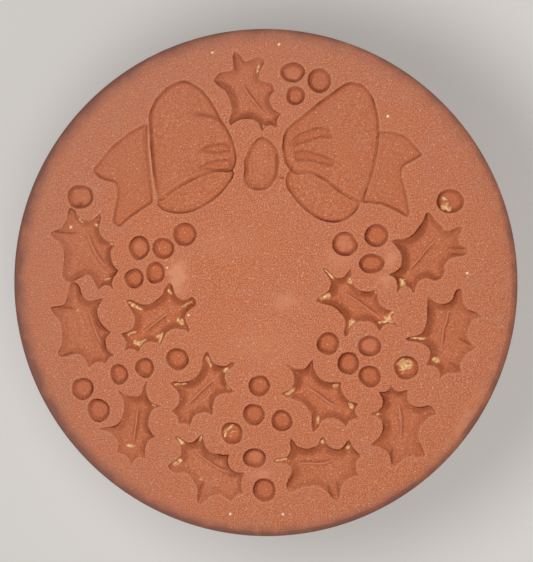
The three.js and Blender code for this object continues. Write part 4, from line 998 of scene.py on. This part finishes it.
mark(head, sunk=over_head(tint), grime=over_head(wall) * 0.55 + handled * 0.12, dough=over_head(dough),
     rubbed=over_head(rubbed) + shoulder * 0.5, bloomed=bloom, smoked=smoke + handled * 0.35)

# The handle is a waisted knob of the same clay, turned on the wheel, with rings where the fingers drew it
# out. Its end was cut off flat with a wire, and the other end is stuck on the head with slip.

handle_low, handle_high = (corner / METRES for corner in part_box("handle"))
HANDLE_FOOT_R = 8.8
HANDLE_BELLY_R = (handle_high.x - handle_low.x) / 2
HANDLE_WAIST_R = 7.7
HANDLE_ROOT_R = 8.6
HANDLE_TOP = handle_high.z
HANDLE_POINTS = np.array([
    (HANDLE_FOOT_R, 0), (HANDLE_BELLY_R - 0.9, 1), (HANDLE_BELLY_R, 4.4), (HANDLE_BELLY_R - 1, 9),
    (HANDLE_WAIST_R + 0.5, 15.5), (HANDLE_WAIST_R, 21), (HANDLE_WAIST_R + 0.25, 27),
    (HANDLE_ROOT_R, HANDLE_TOP),
])
RING_SPACING = 1.9
RING_SHARE, DENT_SHARE, GRIT_SHARE = 0.008, 0.009, 0.0012


def turned(profile, sides):
    """Points and faces of a closed body turned about the stamp's axis. The profile goes from the axis out,
    and back to the axis, counter-clockwise."""
    turn = np.linspace(0, math.tau, sides, endpoint=False)
    rings = [ring_of(turn, r, z) for r, z in profile[1:-1]]
    points = np.concatenate(rings + [np.array([[0, 0, profile[0][1]], [0, 0, profile[-1][1]]])])
    first, last = len(points) - 2, len(points) - 1
    faces = []
    for k in range(len(rings)):
        start = k * sides
        for i in range(sides):
            j = (i + 1) % sides
            if k == 0:
                faces.append((first, start + j, start + i))
            if k + 1 < len(rings):
                faces.append((start + i, start + j, start + sides + j, start + sides + i))
            else:
                faces.append((start + i, start + j, last))
    return points, faces


foot = [(r, z) for r, z in zip(np.linspace(0, HANDLE_FOOT_R - 0.5, 12), np.interp(
    np.linspace(0, 1, 12), (0, 0.75, 1), (0.25, 0.05, 0)))]
handle_profile = np.vstack([foot, drawn_curve(HANDLE_POINTS, 150), [(5, HANDLE_TOP), (0, HANDLE_TOP)]])
handle_points, handle_faces = turned(handle_profile, 220)
turning = np.arctan2(handle_points[:, 1], handle_points[:, 0])
height = handle_points[:, 2]
free = np.clip(height / 1.2, 0, 1) * np.clip((HANDLE_TOP - height) / 2, 0, 1)
crests = np.sin(math.tau * height / RING_SPACING + turning + 1.5 * lumps(handle_points, 6, 21))
rings = RING_SHARE * (0.7 + 0.3 * lumps(handle_points, 8, 24)) * (crests - 1)
dents = DENT_SHARE * (lumps(handle_points, 6, 22) - 1)
grit = GRIT_SHARE * (lumps(handle_points, 0.5, 23) - 1)
handle_points[:, :2] *= (1 + free * (rings + dents + grit))[:, None]
handle = fired_piece("turned_handle", handle_points, handle_faces, "handle",
                     fired_clay("fired clay, turned handle"))
# The held band is paler with wear. The crests of the rings are paler, worn and painted as highlight, and
# painted shade lies in the troughs. The clay is darker in patches and towards the foot.
held = 0.3 * bell(height, 5, 5)
worn_crests = 0.25 * np.clip(crests, 0, 1) ** 2 * (0.6 + 0.4 * lumps(handle_points, 3, 25))
mark(handle, rubbed=free * (held + worn_crests), grime=free * 0.1 * np.clip(-crests, 0, 1) ** 2,
     smoked=0.45 * np.clip(lumps(handle_points, 9, 26), 0, 1) + 0.3 * np.exp(-height / 1.5))

# The luting coil is a roll of soft clay pressed into the corner between the handle and the head's back. A
# wet finger has smoothed it hollow, in dabs that still show round the joint.

coil_low, coil_high = (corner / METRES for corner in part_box("luting_coil"))
COIL_R = (coil_high.x - coil_low.x) / 2
COIL_REACH = COIL_R - HANDLE_ROOT_R
COIL_LIP = 0.35
COIL_DABS = 14
coil_inner = drawn_curve(HANDLE_POINTS, 60)
coil_inner = coil_inner[coil_inner[:, 1] > coil_low.z]
low_r, low_z = coil_inner[0]
corners = np.array([(low_r, low_z), (low_r + COIL_LIP * 3, low_z + (BACK_Z - low_z) * 0.45),
                    (COIL_R - COIL_REACH * 0.5, BACK_Z - COIL_LIP * 2), (COIL_R, BACK_Z)])
steps = np.linspace(0, 1, 27)[:, None]
hollow = ((1 - steps) ** 3 * corners[0] + 3 * (1 - steps) ** 2 * steps * corners[1]
          + 3 * (1 - steps) * steps**2 * corners[2] + steps**3 * corners[3])
coil_loop = np.vstack([hollow, coil_inner[:0:-1] - (0.15, 0)])
COIL_SIDES = 224
turn = np.linspace(0, math.tau, COIL_SIDES, endpoint=False)
coil_points = np.concatenate([ring_of(turn, r, z) for r, z in coil_loop])
coil_faces = []
for k in range(len(coil_loop)):
    start, following = k * COIL_SIDES, (k + 1) % len(coil_loop) * COIL_SIDES
    coil_faces += [(start + i, start + (i + 1) % COIL_SIDES, following + (i + 1) % COIL_SIDES, following + i)
                   for i in range(COIL_SIDES)]
hollow_share = np.sin(math.pi * steps[:, 0])
share = np.repeat(np.concatenate([hollow_share, np.zeros(len(coil_loop) - len(steps))]), COIL_SIDES)
turning = np.arctan2(coil_points[:, 1], coil_points[:, 0])
dabs = 0.01 * np.abs(np.sin(COIL_DABS / 2 * turning + 0.9 * lumps(coil_points, 5, 31)))
dabs += 0.005 * (1 + lumps(coil_points, 1.5, 32))
coil_points[:, :2] *= (1 - share * dabs)[:, None]
coil = fired_piece("luting_coil_smoothed", coil_points, coil_faces, "luting_coil",
                   fired_clay("fired clay, luting coil"))
# Painted shade in the corners where the coil meets the handle and the head; paler worn patches on the hollow.
mark(coil, rubbed=0.3 * share * np.clip(lumps(coil_points, 2, 33), 0, 1), grime=0.25 * (1 - share) ** 4)

# A plain pale floor under the stamp, with soft studio light: a lamp close above the face, a little to the
# upper left, a softbox above the lower right, three low lamps for the side and the handle, and a pale room.

floor_mesh = bpy.data.meshes.new("floor")
FLOOR = 1.5
floor_corners = [(-FLOOR, -FLOOR, 0), (FLOOR, -FLOOR, 0), (FLOOR, FLOOR, 0), (-FLOOR, FLOOR, 0)]
floor_mesh.from_pydata(floor_corners, [], [(0, 1, 2, 3)])
floor = bpy.data.objects.new("floor", floor_mesh)
bpy.context.scene.collection.objects.link(floor)
paper = bpy.data.materials.new("pale paper")
paper.use_nodes = True
paper_tree = paper.node_tree
paper_inputs = paper_tree.nodes["Principled BSDF"].inputs
paper_inputs["Base Color"].default_value = srgb(222, 220, 216)
paper_inputs["Roughness"].default_value = 0.9
ray = add_node(paper_tree, "ShaderNodeLightPath", {})
seen = summed(paper_tree, "MAXIMUM", ray.outputs["Is Camera Ray"], ray.outputs["Is Glossy Ray"])
seen = summed(paper_tree, "MAXIMUM", seen, ray.outputs["Is Transmission Ray"])
paper_inputs["Emission Color"].default_value = (1, 0.99, 0.97, 1)
paper_tree.links.new(summed(paper_tree, "MULTIPLY", seen, 0.2), paper_inputs["Emission Strength"])
floor_mesh.materials.append(paper)

world = bpy.data.worlds.new("pale room")
bpy.context.scene.world = world
world.use_nodes = True
world.node_tree.nodes["Background"].inputs["Color"].default_value = (1, 0.985, 0.96, 1)
world.node_tree.nodes["Background"].inputs["Strength"].default_value = 0.2


def aimed(obj, place, target, roll=0.0):
    """Puts a lamp or camera at a place in mm, looking at a target."""
    back = (Vector(place) - Vector(target)).normalized()
    up = Vector((math.sin(roll), math.cos(roll), 0))
    right = up.cross(back).normalized()
    obj.matrix_world = Matrix((
        (right.x, back.cross(right).x, back.x, place[0] * METRES),
        (right.y, back.cross(right).y, back.y, place[1] * METRES),
        (right.z, back.cross(right).z, back.z, place[2] * METRES),
        (0, 0, 0, 1)))
    bpy.context.scene.collection.objects.link(obj)


def add_lamp(name, kind, watts, place, target, hidden=True, **settings):
    """Adds a lamp at a place in mm, aimed at a target, hidden from the camera or not."""
    light = bpy.data.lights.new(name, kind)
    light.energy = watts
    for setting, value in settings.items():
        setattr(light, setting, value)
    lamp = bpy.data.objects.new(name, light)
    lamp.visible_camera = not hidden
    aimed(lamp, place, target)


FACE_MIDDLE = (0, 0, FACE_Z)
STAMP_MIDDLE = (0, 0, 20)
SOFT_WHITE = (1, 0.98, 0.95)
LOW_LAMP_Z = 36
add_lamp("near lamp", "AREA", 0.0605, (-3, 2, FACE_Z + 100), FACE_MIDDLE,
         shape="DISK", size=0.03, color=SOFT_WHITE)
add_lamp("softbox", "AREA", 0.35, (100, -110, FACE_Z + 400), FACE_MIDDLE, hidden=False,
         shape="DISK", size=0.3, color=SOFT_WHITE)
for x, y in ((-420, -420), (580, -120), (-60, 600)):
    add_lamp("low fill lamp", "SPOT", 3.6, (x, y, LOW_LAMP_Z), STAMP_MIDDLE,
             shadow_soft_size=0.04, spot_size=math.radians(12), spot_blend=1)

CAMERA_DISTANCE = 180
SENSOR = 36
FOCAL_PIXELS = 1804.3
PHOTO_HEIGHT = 562
toward = Vector((0.1341, 0.0337, 1)).normalized()
camera = bpy.data.cameras.new("camera")
camera.sensor_width = SENSOR
camera.lens = FOCAL_PIXELS * SENSOR / PHOTO_HEIGHT
camera.clip_start = 0.01
camera_object = bpy.data.objects.new("camera", camera)
aimed(camera_object, Vector((0, 0, FACE_Z)) + CAMERA_DISTANCE * toward, (0.602, 0.286, FACE_Z), 0.0021)
bpy.context.scene.camera = camera_object

bpy.context.scene.view_settings.view_transform = "Standard"
